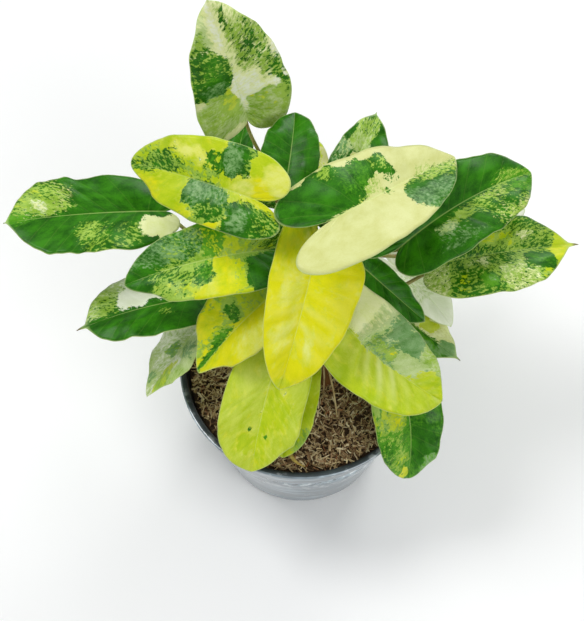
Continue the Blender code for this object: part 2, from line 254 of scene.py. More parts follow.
class Leaf(NamedTuple):
    """One leaf. Lengths are in mm, angles in degrees.

    base is where stalk and blade meet. heading turns from +X towards +Y, pitch is the rise of the
    midrib at the base and droop how far it has bent down at the tip. roll lifts the left edge.
    left and right are half widths, and the lobes reach back behind the base. slot is the finish,
    arrive tells how steeply the stalk comes up under the blade, and bow pushes its upper part
    aside. drip draws the sides in before the tip, left and right, and tail is the share of the
    length that ends as a thread-like tip, which spread widens into the blade. pleats and waves
    scale the relief between the veins and along the edge. streaks is how much longer than wide the
    flecks are, along the veins, and the last pair is how strongly a pale highlight is painted
    between the veins, left and right, where their swellings would shine.
    """

    name: str
    stem: str
    rise: float
    base: tuple
    length: float
    heading: float
    pitch: float
    roll: float
    droop: float
    sway: float
    left: float
    right: float
    left_lobe: float
    right_lobe: float
    widest: float
    fullness: float
    slot: str
    arrive: float = 0.5
    bow: tuple = (0, 0)
    drip: tuple = (0, 0)
    tail: float = 0.0
    spread: float = 1.0
    pleats: float = 1.0
    waves: float = 0.4
    streaks: float = 1.4
    painted_highlights: tuple = (0, 0)


STEMS = {
    "stem_left": Stem((-26, 6), (-34, 30, 166)),
    "stem_front": Stem((16, -8), (13, 4, 160)),
    "stem_rear": Stem((6, 36), (8, 60, 170)),
}

LEAVES = (
    Leaf("leaf_rear_tall", "stem_rear", 0.9, (-37, 128, 225), 96, 131, 72, -10, 8, 1,
         34, 35, 6, 15, 0.16, 1.4, "leaf_mottled", drip=(0.1, 0.1), pleats=1.5, waves=0.5, streaks=2.6),
    Leaf("leaf_upper_left", "stem_rear", 0.97, (-30, 37, 268), 95, 159, 4, -36, 36, 11,
         26, 30, 21, 19, 0.16, 1.3, "leaf_lime", 0.9, (8, 36), drip=(0.25, 0)),
    Leaf("leaf_far_left", "stem_left", 0.7, (-92, 71, 200), 107, 190, 16, 0, 12, 3,
         33, 27, 5, 8, 0.45, 2.3, "leaf_green", tail=0.015, spread=2.0, waves=1.0),
    Leaf("leaf_mid_left", "stem_left", 0.85, (-24, 28, 222), 95, 190, 5, -13, 27, 9,
         28, 25, 15, 23, 0.17, 1.7, "leaf_mottled", 0.9, drip=(0.3, 0)),
    Leaf("leaf_low_left", "stem_left", 0.45, (-61, 24, 168), 94, 191, 8, 5, 23, 6,
         25, 25, 5, 8, 0.38, 1.7, "leaf_green", tail=0.07, spread=2.0, waves=0.8),
    Leaf("leaf_centre_yellow", "stem_front", 0.95, (9, 24, 236), 98, -102, -17, -18, 35, 1,
         34, 27, 4, 23, 0.18, 1.3, "leaf_yellow", 0.9, pleats=3.0, waves=0.3, painted_highlights=(0.4, 0.4)),
    Leaf("leaf_front_left", "stem_left", 0.6, (-18, 9, 201), 77, -142, -16, -6, 33, 3,
         24, 29, 16, 4, 0.28, 0.8, "leaf_lime", 0.8, drip=(0.3, 0.1)),
    Leaf("leaf_upper_right", "stem_rear", 0.95, (19, 28, 260), 107, 36, -7, 4, 16, 4,
         33, 36, 33, 41, 0.10, 1.25, "leaf_cream", 1.0),
    Leaf("leaf_rear_right", "stem_rear", 0.8, (28, 85, 210), 59, 61, 23, 7, 29, 9,
         17, 21, 14, 14, 0.2, 1.3, "leaf_mottled", tail=0.03, spread=0.8, streaks=1.0),
    Leaf("leaf_rear_small", "stem_rear", 0.85, (-11, 80, 220), 55, 79, 25, 3, 39, 8,
         20, 20, 13, 13, 0.25, 1.4, "leaf_green", pleats=0.3),
    Leaf("leaf_right", "stem_rear", 0.85, (65, 41, 205), 110, 37, 18, 8, 38, -14,
         28, 31, 22, 11, 0.3, 1.8, "leaf_green", 1.0, waves=0.8),
    Leaf("leaf_far_right", "stem_front", 0.6, (93, 44, 178), 100, 9, 6, 4, 24, 4,
         26, 32, 22, 13, 0.28, 1.8, "leaf_mottled", tail=0.08, waves=0.6),
    Leaf("leaf_under_right", "stem_rear", 0.75, (92, 66, 164), 72, 25, 12, 0, 28, 0,
         19, 19, 12, 12, 0.2, 1.1, "leaf_cream"),
    Leaf("leaf_pale_right", "stem_rear", 0.35, (62, 60, 150), 62, -43, 4, -15, 32, 0,
         18, 20, 12, 12, 0.3, 1.3, "leaf_cream"),
    Leaf("leaf_low_right", "stem_front", 0.3, (62, 30, 140), 60, -40, -6, -5, 8, 6,
         19, 20, 11, 11, 0.3, 1.0, "leaf_lime", tail=0.06),
    Leaf("leaf_inner_right", "stem_rear", 0.55, (37, 37, 190), 61, -35, -24, -6, 6, 4,
         13, 18, 10, 10, 0.3, 1.4, "leaf_green", 0.7, pleats=0.5),
    Leaf("leaf_front_right", "stem_front", 0.7, (23, -2, 186), 92, -45, -19, 5, 18, 25,
         31, 31, 22, 22, 0.3, 1.6, "leaf_lime", 0.8, pleats=5.0, painted_highlights=(0, 1.0)),
    Leaf("leaf_hanging_right", "stem_front", 0.15, (68, -30, 139), 72, -74, -24, -3, 52, -14,
         23, 26, 17, 17, 0.24, 1.4, "leaf_mottled", drip=(0.2, 0)),
    Leaf("leaf_front_lime", "stem_front", 0.5, (-15, -17, 166), 86, -110, -21, -17, 30, 16,
         27, 29, 22, 6, 0.5, 1.8, "leaf_lime", 0.8, drip=(0.2, 0), waves=0.3),
    Leaf("leaf_front_under", "stem_front", 0.3, (-1, -8, 139), 70, -102, -7, 2, 27, 1,
         18, 21, 6, 14, 0.4, 1.9, "leaf_lime", 0.7),
    Leaf("leaf_sage_left", "stem_left", 0.25, (-67, 16, 150), 66, -130, -16, 22, 11, -4,
         19, 18, 11, 14, 0.45, 1.0, "leaf_cream", drip=(0.3, 0.2)),
    Leaf("leaf_inner_rear", "stem_left", 0.6, (-48, 89, 185), 59, 85, 30, -13, 29, -3,
         17, 15, 13, 13, 0.2, 0.8, "leaf_green"),
    Leaf("leaf_inner_centre", "stem_rear", 0.7, (-18, 50, 188), 50, 141, 20, 0, 28, 0,
         14, 9, 10, 7, 0.2, 1.1, "leaf_green", 0.8),
    Leaf("leaf_back_left", "stem_rear", 0.3, (-28, 101, 160), 93, 154, 8, 0, 28, 0,
         26, 26, 20, 20, 0.2, 1.1, "leaf_mottled"),
    Leaf("leaf_back_right", "stem_rear", 0.4, (30, 88, 165), 92, 39, 3, 0, 28, 0,
         26, 26, 20, 20, 0.2, 1.1, "leaf_green"),
    Leaf("leaf_back_centre", "stem_rear", 0.5, (6, 98, 158), 72, 96, 14, 0, 28, 0,
         20, 20, 15, 15, 0.2, 1.1, "leaf_mottled"),
)

# Aerial roots, from a stem through a middle point to an end in the husk, in mm
ROOTS = (
    ((14, -7, 132), (16, -15, 122), (15, -17, 103)),
    ((17, -8, 128), (22, -24, 122), (24, -37, 103)),
    ((13, -8, 120), (11, -13, 115), (9, -15, 103)),
    ((-24, 5, 125), (-33, -2, 118), (-36, -6, 103)),
    ((4, 38, 128), (10, 50, 120), (12, 54, 103)),
)

# Each blade's ground tone, then its patches, painted in order. A patch gives one tone, or several
# that mingle in flecks, the first the most. Then it gives where it starts and ends along the midrib
# and where across it, left being positive, all in percent of the blade's length. A number after
# these is a lean, which carries both ends tipwards away from the midrib.
# Patches with the grey-green sheen tone paint the sheen where a glossy blade shines
PATTERNS = {
    "leaf_rear_tall": ("white ivory", (
        ("sage fresh", -40, 34, 0, 60),
        ("fresh sage", 2, 33, 14, 40, 0.2),
        ("pale fresh", 8, 30, 2, 15, 0.4),
        ("ivory", -8, 3, 3, 21),
        ("sage ivory", 60, 100, 4, 30, 0.5),
        ("fresh sage dark", 62, 80, 10, 32, 0.4),
        ("dark fresh ivory", 32, 68, 1, 42, 0.2),
        ("dark fresh", 31, 60, 1, 38, 0.15),
        ("dark green fresh", 40, 58, 4, 24, 0.1),
        ("mist dark", 31, 41, 6, 26, 0.1),
        ("ivory", 29, 37, 28, 38),
        ("fresh sage", -40, 20, -50, 0),
        ("fresh sage pale", -12, 16, -26, -4, 0.3),
        ("white ivory", 18, 42, -26, 1, 0.2),
        ("fresh ivory dark", 36, 96, -32, -1, 0.3),
        ("fresh dark ivory", 40, 92, -28, -5, 0.3),
        ("dark fresh ivory", 44, 64, -22, -8, 0.2),
        ("fresh dark ivory", 24, 50, -29, -15, 0.2),
        ("dark fresh", 4, 42, -36, -28),
        ("ivory fresh", 82, 120, -20, 0),
        ("dark", 81, 92, -6.8, -3.6, 0.4),
    )),
    "leaf_upper_left": ("lime", (
        ("yellow", -12, 12, -15, -1),
        ("butter", -20, -2, -25, -8),
        ("pale butter", 3, 16, -12, 0),
        ("dark fresh", 8, 22, -36, -12),
        ("dark green lime", 25, 38, -24, -6),
        ("mist dark", 14, 27, -32, -7),
        ("fresh lime dark", 24, 62, -12, 1),
        ("butter", 36, 60, -21, -13),
        ("dark fresh lime", 56, 120, -15, 1),
        ("dark fresh", 64, 90, -12, -2),
        ("lime fresh dark", 78, 120, -26, -2),
        ("dark fresh", -40, 16, 2, 44),
        ("dark fresh lime", -40, -6, 4, 44),
        ("mist dark", -2, 14, 8, 26),
        ("yellow lime", -18, -1, 0, 7),
        ("yellow", 16, 26, 17, 40),
        ("lime yellow fresh", 24, 56, 20, 44),
        ("dark mist fresh", 16, 48, 0, 18),
        ("mist dark", 28, 47, 1, 11),
        ("dark fresh", 20, 36, 13, 25),
        ("lime", 49, 72, 2, 36),
        ("yellow lime", 68, 92, 3, 20),
        ("dark fresh lime", 74, 110, -2, 5),
    )),
    "leaf_far_left": ("dark", (
        ("dark fresh", 16, 34, 5, 34),
        ("ivory", -12, 19, 3.5, 21.5),
        ("dark fresh", 34, 58, 4, 34),
        ("fresh dark", 41, 52, 8, 22, 0.2),
        ("dark fresh cream", 54, 100, -26, 0),
        ("fresh dark cream", 60, 92, -21, -2, 0.2),
        ("fresh dark pale", 70, 92, -20, -3),
        ("ivory fresh white", 70, 84, -12, -3),
        ("green", 84, 120, -4, 2),
    )),
    "leaf_mid_left": ("fresh green", (
        ("dark fresh lime", -40, 30, -40, 0),
        ("fresh lime dark", 0, 30, -16, 0),
        ("lime yellow fresh", 15, 24, -10, -2),
        ("green lime", 24, 46, -28, -4),
        ("dark mist fresh", 42, 76, -26, 0),
        ("mist fresh dark", 55, 72, -15, -2),
        ("dark mist", 70, 120, -24, 0),
        ("dark", 78, 120, -6, 6),
        ("lime fresh", 10, 24, 12, 40),
        ("dark", -40, 15, 1, 42),
        ("lime yellow fresh", 17, 30, 0, 30),
        ("yellow lime", 26, 44, 0, 30),
        ("yellow lime", 40, 54, 16, 36),
        ("pale fresh dark", 46, 64, 5, 24),
        ("dark green fresh", 36, 51, 3, 17),
        ("dark fresh", 56, 120, -2, 12),
        ("fresh dark pale", 62, 82, 8, 24),
        ("dark", 84, 120, 0, 20),
    )),
    "leaf_low_left": ("dark", (
        ("dark fresh", 28, 40, 2, 14),
        ("sage fresh dark", 56, 98, -34, -1),
        ("fresh sage dark", 60, 90, -25, -6),
        ("white", 0, 62, -40, -3),
        ("white sage", 56, 70, -40, -21),
        ("white", 50, 68, -12, -2),
        ("fresh dark", 68, 80, -12, -2),
    )),
    "leaf_centre_yellow": ("yellow", (
        # Painted highlight: the pale butter patches stand for the shine along the swellings and veins
        ("butter yellow", 6, 42, -19, -2),
        ("butter", 54, 66, 6, 12, 0.9),
        ("butter yellow", 44, 64, -14, -3, 0.8),
        ("lime yellow", 90, 110, -10, 10),
        # Painted shade: the lobe under the upper right blade is painted greener and darker, together
        # with the blade's green tinge at its base
        ("lime", -40, -2, -40, -2),
        ("lime yellow", -40, 16, -40, -10),
    )),
    "leaf_front_left": ("yellow lime", (
        ("yellow", -20, 90, 2, 40),
        # Painted light: a paler butter yellow lifts this half where the centre yellow blade shades it
        ("butter yellow", 20, 60, 10, 40),
        ("fresh lime", -20, 42, -50, 0),
        ("lime fresh", 8, 32, -26, -2),
        ("dark green fresh", 30, 45, -20, -5),
        ("fresh yellow lime dark", 44, 95, -40, -1),
        ("fresh green lime", 48, 66, -14, -3),
        ("yellow lime", 50, 74, -28, -12),
        ("green dark", 54, 105, -5.5, 0),
    )),
    "leaf_upper_right": ("cream", (
        ("dark fresh", -10, 38, 1.2, 29),
        ("dark", -60, 20, 1.2, 28.5),
        ("dark green", 14, 38, 6, 26),
        ("fresh dark", 6, 20, 20, 29),
        ("cream fresh", 29, 40, 2, 10),
        ("cream dark", 40, 54, 2, 14),
        ("dark fresh", 38, 51, 11, 23),
        ("cream", 22, 46, 25, 40),
        ("cream fresh", 66, 80, 1, 9),
        ("dark fresh", 38, 42, -2.5, 1),
        ("dark mist fresh", 49, 94, -26, -1),
        ("dark mist", 52, 80, -21, -4),
        ("fresh dark cream", 60, 100, -8, 1),
        ("cream", 40, 58, -40, -26),
    )),
    "leaf_rear_right": ("dark", (
        ("cream pale", 16, 42, -14, 8),
        ("dark mist sage", 10, 56, 10, 50),
        ("mist sage", 36, 48, 13, 24),
        ("fresh sage dark", 42, 88, -10, 17),
        ("sage fresh", 44, 64, -4, 10),
        ("fresh dark sage", 64, 92, -14, 8),
        ("dark", 46, 90, -50, -12),
    )),
    "leaf_rear_small": ("dark", ()),
    "leaf_right": ("dark", (
        ("dark fresh", 22, 70, -22, -1),
        ("green dark", 16, 66, -26, -14),
        ("sage mist", 22, 33, -12, -5),
        ("fresh sage", 36, 43, -11, -6),
        ("fresh dark mist", 40, 56, -14, -3),
        ("dark mist", 18, 50, -24, -13),
        ("dark", 42, 50, -18, -12),
        ("fresh dark cream", 54, 80, -9, 0),
        ("dark fresh cream", 54, 98, -30, -12),
        ("fresh cream dark", 70, 94, -27, -18),
        ("green dark fresh", 76, 100, -13, -1),
        ("green fresh", 78, 120, 0, 6),
    )),
    "leaf_far_right": ("fresh dark lime", (
        ("fresh ivory dark", -30, 10, -40, 0),
        ("dark fresh lime", 4, 36, -40, -11),
        ("dark fresh", 5, 14, -11, -2),
        ("ivory fresh dark", 14, 38, -12, 0),
        ("dark fresh", 18, 26, -20, -6),
        ("green dark fresh", 21, 36, -28, -15),
        ("mist green", 25, 31, -22, -17),
        ("fresh ivory dark", 36, 64, -34, -5),
        ("dark fresh", 34, 48, -10, 0),
        ("dark fresh", -20, 40, 0, 9),
        ("dark fresh lime", -20, 46, 8, 26),
        ("lime fresh", 30, 40, 7, 15),
        ("fresh lime dark", 43, 55, 4, 16),
        ("ivory fresh dark", 54, 68, 3, 16),
        ("dark fresh", 50, 80, 14, 30),
        ("dark fresh", 60, 74, 0, 6),
        ("lime fresh dark", 66, 88, -34, -10),
        ("dark green", 58, 76, -16, -5),
        ("lime pale", 80, 110, -16, 10),
        ("yellow lime", 78, 92, -8, -1),
        ("pale fresh", 92, 120, -5, 5),
    )),
    "leaf_under_right": ("white sage", (
        ("white", 40, 110, -30, 30),
    )),
    "leaf_pale_right": ("white", (
        ("white sage", 20, 60, -40, 30),
    )),
    "leaf_low_right": ("dark", (
        ("ivory cream", -30, 88, 0, 40),
        ("pale", 26, 58, 3, 17),
        ("green dark", -30, 80, -40, 0),
        ("mist green", 34, 80, -40, -6),
        ("mist", 70, 120, -10, 10),
    )),
    "leaf_inner_right": ("dark", ()),
    "leaf_front_right": ("pale lime", (
        ("ivory", -40, 28, 0, 50),
        ("sage ivory", 16, 36, 0, 50),
        ("mist sage", 29, 78, 0, 50),
        ("mist", 40, 66, 16, 30),
        ("fresh mist sage", 24, 54, -1, 13),
        ("yellow fresh", 43, 53, 4, 10),
        ("sage", 54, 72, 2, 15),
        ("fresh sage", 66, 96, 15, 40),
        ("lime", 72, 120, 0, 13),
        ("lime", -40, 120, -50, -22),
        ("pale", 10, 70, -20, -2),
        ("sage pale", -30, 14, -22, -1),
    )),
    "leaf_hanging_right": ("green dark", (
        ("fresh green lime", -40, 46, -50, -1),
        ("lime fresh green", 14, 42, -28, -6),
        ("yellow lime fresh", 24, 36, -20, -11),
        ("green fresh dark", 40, 92, -40, -2),
        ("dark green fresh", 48, 76, -40, -14),
        ("fresh green lime", 58, 88, -18, -2),
        ("fresh green", 6, 30, 14, 46),
        ("dark green", 20, 95, 0.5, 40),
        ("dark", 40, 80, 2, 22),
        ("mist green", 66, 90, 12, 40),
        ("pale yellow", 82, 96, -9, -1),
    )),
    "leaf_front_lime": ("pale", (
        ("lime", 8, 92, 0, 9),
        ("lime", 30, 62, 8, 20),
        ("lime", 66, 84, -16, 2),
        ("dark", 59.6, 63.8, -10.4, -6.2),
        ("green", 66.5, 70, 3.5, 6.5),
    )),
    "leaf_front_under": ("lime", (
        ("fresh lime", 66, 100, 6, 40),
    )),
    "leaf_sage_left": ("sage white", (
        ("white sage", -20, 26, -40, 30),
        ("sage mist", 20, 46, 0, 30),
        ("mist sage", 28, 44, 8, 20),
        ("white sage pale", 46, 72, 0, 12),
        ("fresh pale", 58, 92, 0, 14),
        ("sage fresh", 50, 95, 14, 34),
        ("mist fresh", 34, 52, -12, -1),
        ("white sage", 26, 50, -30, -10),
        ("sage white", 54, 80, -24, -4),
        ("sage fresh", 62, 95, -34, -16),
        ("mist sage", 74, 90, -14, -2),
    )),
    "leaf_inner_rear": ("dark", ()),
    "leaf_inner_centre": ("dark", (
        ("green dark", 10, 60, -20, 20),
    )),
    "leaf_back_left": ("fresh sage", (
        ("dark fresh", -40, 26, -40, 40),
        ("cream white", 28, 50, 2, 36),
        ("cream fresh dark", 38, 68, -36, -2),
        ("dark fresh", 52, 76, 0, 28),
        ("mist dark", 10, 30, -30, -6),
        ("dark", 76, 110, -16, 12),
    )),
    "leaf_back_right": ("dark", (
        ("fresh sage dark", 14, 42, 2, 36),
        ("cream sage", 42, 62, -28, -2),
        ("dark pale", 58, 92, -24, 22),
        ("mist dark", 12, 34, -24, -8),
    )),
    "leaf_back_centre": ("lime fresh", (
        ("dark", -30, 26, -36, 0),
        ("yellow lime", 16, 58, 2, 36),
        ("cream pale", 44, 68, -28, -3),
        ("dark fresh pale", 64, 94, -12, 20),
    )),
}


def clear_selection():
    if bpy.context.object and bpy.context.object.mode != "OBJECT":
        bpy.ops.object.mode_set(mode="OBJECT")
    bpy.ops.object.select_all(action="DESELECT")


def only(piece):
    """Select one piece and make it the active one."""
    clear_selection()
    piece.select_set(True)
    bpy.context.view_layer.objects.active = piece


def apply_modifiers(piece):
    only(piece)
    for step in list(piece.modifiers):
        bpy.ops.object.modifier_apply(modifier=step.name)


def edit_all(operator, **options):
    """Run an edit-mode operator on the whole of the active mesh."""
    bpy.ops.object.mode_set(mode="EDIT")
    bpy.ops.mesh.select_all(action="SELECT")
    operator(**options)
    bpy.ops.object.mode_set(mode="OBJECT")


def join(pieces, name):
    clear_selection()
    for piece in pieces:
        piece.select_set(True)
    bpy.context.view_layer.objects.active = pieces[0]
    bpy.ops.object.join()
    joined = bpy.context.object
    joined.name = name
    return joined


def settle(piece, slot, *looks):
    """Give a finished piece its materials and let it ride on the body."""
    piece.data.materials.clear()
    for look in looks:
        piece.data.materials.append(look)
    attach(piece, BODY)
    return piece


def read_points(mesh):
    points = np.empty(len(mesh.vertices) * 3)
    mesh.vertices.foreach_get("co", points)
    return points.reshape(-1, 3)


def write_points(mesh, points):
    mesh.vertices.foreach_set("co", np.asarray(points, dtype=np.float32).ravel())
    mesh.update()


def write_values(mesh, name, values):
    layer = mesh.attributes.get(name) or mesh.attributes.new(name, "FLOAT", "POINT")
    layer.data.foreach_set("value", np.asarray(values, dtype=np.float32))


def write_map(mesh, name, across, along):
    """Store a UV map from two values a point."""
    corners = np.empty(len(mesh.loops), dtype=int)
    mesh.loops.foreach_get("vertex_index", corners)
    layer = mesh.uv_layers.get(name) or mesh.uv_layers.new(name=name)
    places = np.stack([across, along], axis=1)[corners]
    layer.data.foreach_set("uv", places.astype(np.float32).ravel())


def read_values(mesh, name):
    values = np.empty(len(mesh.vertices), dtype=np.float32)
    mesh.attributes[name].data.foreach_get("value", values)
    return values.astype(float)


def linear(code):
    """A colour written as on paper, in hex, as the renderer's linear red, green and blue."""
    shares = [int(code[n:n + 2], 16) / 255 for n in (0, 2, 4)]
    return (*[share / 12.92 if share < 0.04045 else ((share + 0.055) / 1.055) ** 2.4
              for share in shares], 1.0)


def node(tree, kind, inputs=None, **settings):
    """Add a shader node, set it up, and fill its inputs with values or other nodes' sockets."""
    made = tree.nodes.new("ShaderNode" + kind)
    for key, value in settings.items():
        setattr(made, key, value)
    for place, value in (inputs or {}).items():
        if isinstance(value, bpy.types.NodeSocket):
            tree.links.new(value, made.inputs[place])
        else:
            made.inputs[place].default_value = value
    return made


def math_node(tree, operation, *values, clamp=False):
    made = node(tree, "Math", dict(enumerate(values)), operation=operation, use_clamp=clamp)
    return made.outputs[0]


def stored(tree, name):
    """A value that the mesh stores at each point."""
    return node(tree, "Attribute", attribute_name=name).outputs["Fac"]


def object_place(tree):
    return node(tree, "TexCoord").outputs["Object"]


def blend_colours(tree, share, low, high):
    """Blend two colours, each given as a hex code or as another node's socket."""
    low, high = (linear(tone) if isinstance(tone, str) else tone for tone in (low, high))
    made = node(tree, "Mix", {0: share, 6: low, 7: high}, data_type="RGBA")
    return made.outputs[2]


def blotches_of(tree, scale, detail, low, high, first, second):
    """Soft blotches: the first colour where the noise is under low, the second where it is over high."""
    share = remap(tree, noise_node(tree, object_place(tree), scale, detail), low, high, 0.0, 1.0)
    return blend_colours(tree, share, first, second)


def remap(tree, value, from_low, from_high, to_low, to_high):
    made = node(tree, "MapRange", {0: value, 1: from_low, 2: from_high, 3: to_low, 4: to_high})
    return made.outputs[0]


def new_look(name, roughness, specular=0.5):
    look = bpy.data.materials.new(name)
    look.use_nodes = True
    tree = look.node_tree
    shader = tree.nodes["Principled BSDF"]
    shader.inputs["Roughness"].default_value = roughness
    shader.inputs["Specular IOR Level"].default_value = specular
    return look, tree, shader


def noise_node(tree, place, scale, detail=3.0, rough=0.55, w=0.0):
    made = node(tree, "TexNoise", {"Vector": place, "W": w, "Scale": scale, "Detail": detail,
                                   "Roughness": rough}, noise_dimensions="4D")
    return made.outputs[0]


def bump(tree, shader, height, depth, strength=1.0):
    made = node(tree, "Bump", {"Height": height, "Distance": depth, "Strength": strength})
    tree.links.new(made.outputs[0], shader.inputs["Normal"])


def strongest(tree, rivals, gain):
    """Of several colours with their strengths, show the strongest at each spot."""
    colour, best = rivals[0]
    for rival, value in rivals[1:]:
        lead = math_node(tree, "SUBTRACT", value, best)
        wins = math_node(tree, "MULTIPLY_ADD", lead, gain, 0.5, clamp=True)
        colour = blend_colours(tree, wins, colour, rival)
        best = math_node(tree, "MAXIMUM", value, best)
    return colour, best


def with_dry_tip(tree, colour):
    """The colour given, but brown where a blade's thread-like tip has dried."""
    dry = stored(tree, "dry")
    return blend_colours(tree, dry, colour, "6c5a38")


def leaf_skin(name, under=False):
    """Leaf tissue: whichever tone is strongest at a spot wins, with flecked, vein-wise edges."""
    look, tree, shader = new_look(name, 0.55 if under else 0.3, 0.17)
    grain = node(tree, "UVMap", uv_map="veins").outputs[0]
    broad = noise_node(tree, grain, 13.0, 3.0, 0.6)
    fine = noise_node(tree, grain, 150.0, 3.0, 0.7, 9.0)
    depth = math_node(tree, "MULTIPLY_ADD", math_node(tree, "SUBTRACT", fine, 0.5), 0.5, broad)
    depth = remap(tree, depth, 0.35, 0.65, 0.0, 1.0)
    families = []
    for family, scale, detail, gain in FAMILIES:
        members = []
        for tone in family:
            field = stored(tree, tone)
            flecks = noise_node(tree, grain, scale, detail, 0.68, 3.7 * TONE_ORDER.index(tone) + 1.0)
            base = math_node(tree, "SUBTRACT", field, FLECK_STRENGTH / 2)
            value = math_node(tree, "MULTIPLY_ADD", flecks, FLECK_STRENGTH, base)
            members.append((blend_colours(tree, depth, *TONES[tone]), value))
        families.append(strongest(tree, members, gain))
    colour, _ = strongest(tree, families, SHARP_GAIN)
    ribs = node(tree, "SeparateXYZ", {0: node(tree, "UVMap", uv_map="ribs").outputs[0]}).outputs
    rib = math_node(tree, "SUBTRACT", 1.0, math_node(tree, "ABSOLUTE", ribs[0]), clamp=True)
    colour = blend_colours(tree, math_node(tree, "MULTIPLY", rib, RIB_SHOWS), colour, "c8de80")
    # Painted highlight: pale streaks between the veins, where the swellings would shine
    painted_highlights = stored(tree, "painted_highlights")
    colour = blend_colours(tree, painted_highlights, colour, "eaf0b0")
    apart = math_node(tree, "PINGPONG", ribs[1], 0.5)
    gap = stored(tree, "vein_gap")
    vein = math_node(tree, "SUBTRACT", 1.0, math_node(tree, "MULTIPLY", apart, gap), clamp=True)
    vein = math_node(tree, "MULTIPLY", vein, VEIN_SHOWS)
    colour = blend_colours(tree, vein, colour, "b4cc6a")
    margin = stored(tree, "from_edge")
    margin = math_node(tree, "SUBTRACT", 1.0, margin, clamp=True)
    margin = math_node(tree, "MULTIPLY", margin, MARGIN_SHOWS)
    colour = blend_colours(tree, margin, colour, "c2d68c")
    if under:
        colour = blend_colours(tree, 0.35, colour, "b4c88c")
    tree.links.new(with_dry_tip(tree, colour), shader.inputs["Base Color"])
    cells = noise_node(tree, grain, 240.0, 2.0)
    bump(tree, shader, cells, 0.12 * MM, 0.6)
    gloss = remap(tree, broad, 0.3, 0.7, 0.50 if under else 0.26, 0.62 if under else 0.38)
    tree.links.new(gloss, shader.inputs["Roughness"])
    return look


def leaf_edge():
    """The thin pale margin of a blade."""
    look, tree, shader = new_look("leaf_edge", 0.45, 0.3)
    colour = blotches_of(tree, 60.0, 3.0, 0.3, 0.7, "a8c060", "d0dc90")
    tree.links.new(with_dry_tip(tree, colour), shader.inputs["Base Color"])
    return look


def stalk_skin():
    """Green stalk tissue with brownish red streaks, browner and drier on the stems."""
    look, tree, shader = new_look("stalk_skin", 0.4, 0.4)
    place = object_place(tree)
    long_grain = node(tree, "Mapping", {"Vector": place, "Scale": (1.0, 1.0, 0.25)}).outputs[0]
    streaks = noise_node(tree, long_grain, 220.0, 3.0)
    age = stored(tree, "age")
    rusty = remap(tree, math_node(tree, "MULTIPLY_ADD", age, 0.3, streaks), 0.43, 0.70, 0.0, 0.85)
    colour = blend_colours(tree, rusty, "8c9040", "80482a")
    pale = remap(tree, noise_node(tree, place, 45.0, 2.0, 0.5, 5.0), 0.55, 0.7, 0.0, 0.5)
    colour = blend_colours(tree, pale, colour, "c9cf8a")
    tree.links.new(colour, shader.inputs["Base Color"])
    bump(tree, shader, streaks, 0.2 * MM, 0.7)
    return look


def root_skin():
    """Dry, straw-brown skin of the aerial roots."""
    look, tree, shader = new_look("root_skin", 0.7, 0.3)
    colour = blotches_of(tree, 90.0, 4.0, 0.4, 0.65, "d2c08e", "a58a56")
    tree.links.new(colour, shader.inputs["Base Color"])
    bump(tree, shader, noise_node(tree, object_place(tree), 700.0), 0.2 * MM, 0.7)
    return look


def pot_plastic(name, outside):
    """Thin moulded black plastic. The outer wall is scuffed and shines where it is seen aslant; its
    grey-blue colour and lighter blotches are painted reflection, and its pale streaks are scuffs with
    painted reflection in them.
    """
    look, tree, shader = new_look(name, 0.3, 0.5 if outside else 0.4)
    if outside:
        shader.inputs["IOR"].default_value = 1.9
        shader.inputs["Coat Weight"].default_value = 1.0
        shader.inputs["Coat IOR"].default_value = 1.8
        shader.inputs["Coat Roughness"].default_value = 0.25
    place = object_place(tree)
    around = node(tree, "Mapping", {"Vector": place, "Scale": (0.22, 0.22, 1.2)}).outputs[0]
    streaks = noise_node(tree, around, 110.0, 5.0, 0.7)
    blotches = noise_node(tree, place, 28.0, 4.0, 0.6, 4.0)
    sheen = remap(tree, blotches, 0.35, 0.65, 0.0, 1.0)
    # Outside, the grey-blue base and its lighter blotches are painted reflection: the plastic is black,
    # as inside
    colour = blend_colours(tree, sheen, "36474f" if outside else "0c1011",
                           "556a74" if outside else "1a2022")
    # Pale streaks: scuffs, and outside also lightened to blue grey as painted reflection
    scuffs_and_reflection = remap(tree, streaks, 0.5, 0.62, 0.0, 0.8 if outside else 0.2)
    colour = blend_colours(tree, scuffs_and_reflection, colour, "889ea9" if outside else "556065")
    worn = stored(tree, "wear")
    dashes = node(tree, "Mapping", {"Vector": place, "Scale": (0.6, 0.6, 1.0)}).outputs[0]
    marks = noise_node(tree, dashes, 210.0, 3.0, 0.6, 6.0)
    colour = blend_colours(tree, math_node(tree, "MULTIPLY", worn, 0.4), colour, "a2b6c0")
    white = math_node(tree, "MULTIPLY", worn, remap(tree, marks, 0.53, 0.6, 0.0, 0.9))
    colour = blend_colours(tree, white, colour, "e4eaec")
    black = math_node(tree, "MULTIPLY", worn, remap(tree, marks, 0.47, 0.4, 0.0, 0.9))
    colour = blend_colours(tree, black, colour, "1c2429")
    dust = remap(tree, noise_node(tree, place, 300.0, 5.0, 0.7, 2.0), 0.62, 0.76, 0.0, 0.5)
    colour = blend_colours(tree, dust, colour, "7a7468" if outside else "8c8878")
    tree.links.new(colour, shader.inputs["Base Color"])
    tree.links.new(remap(tree, blotches, 0.3, 0.7, 0.24, 0.42), shader.inputs["Roughness"])
    bump(tree, shader, streaks, 0.4 * MM, 0.6)
    return look


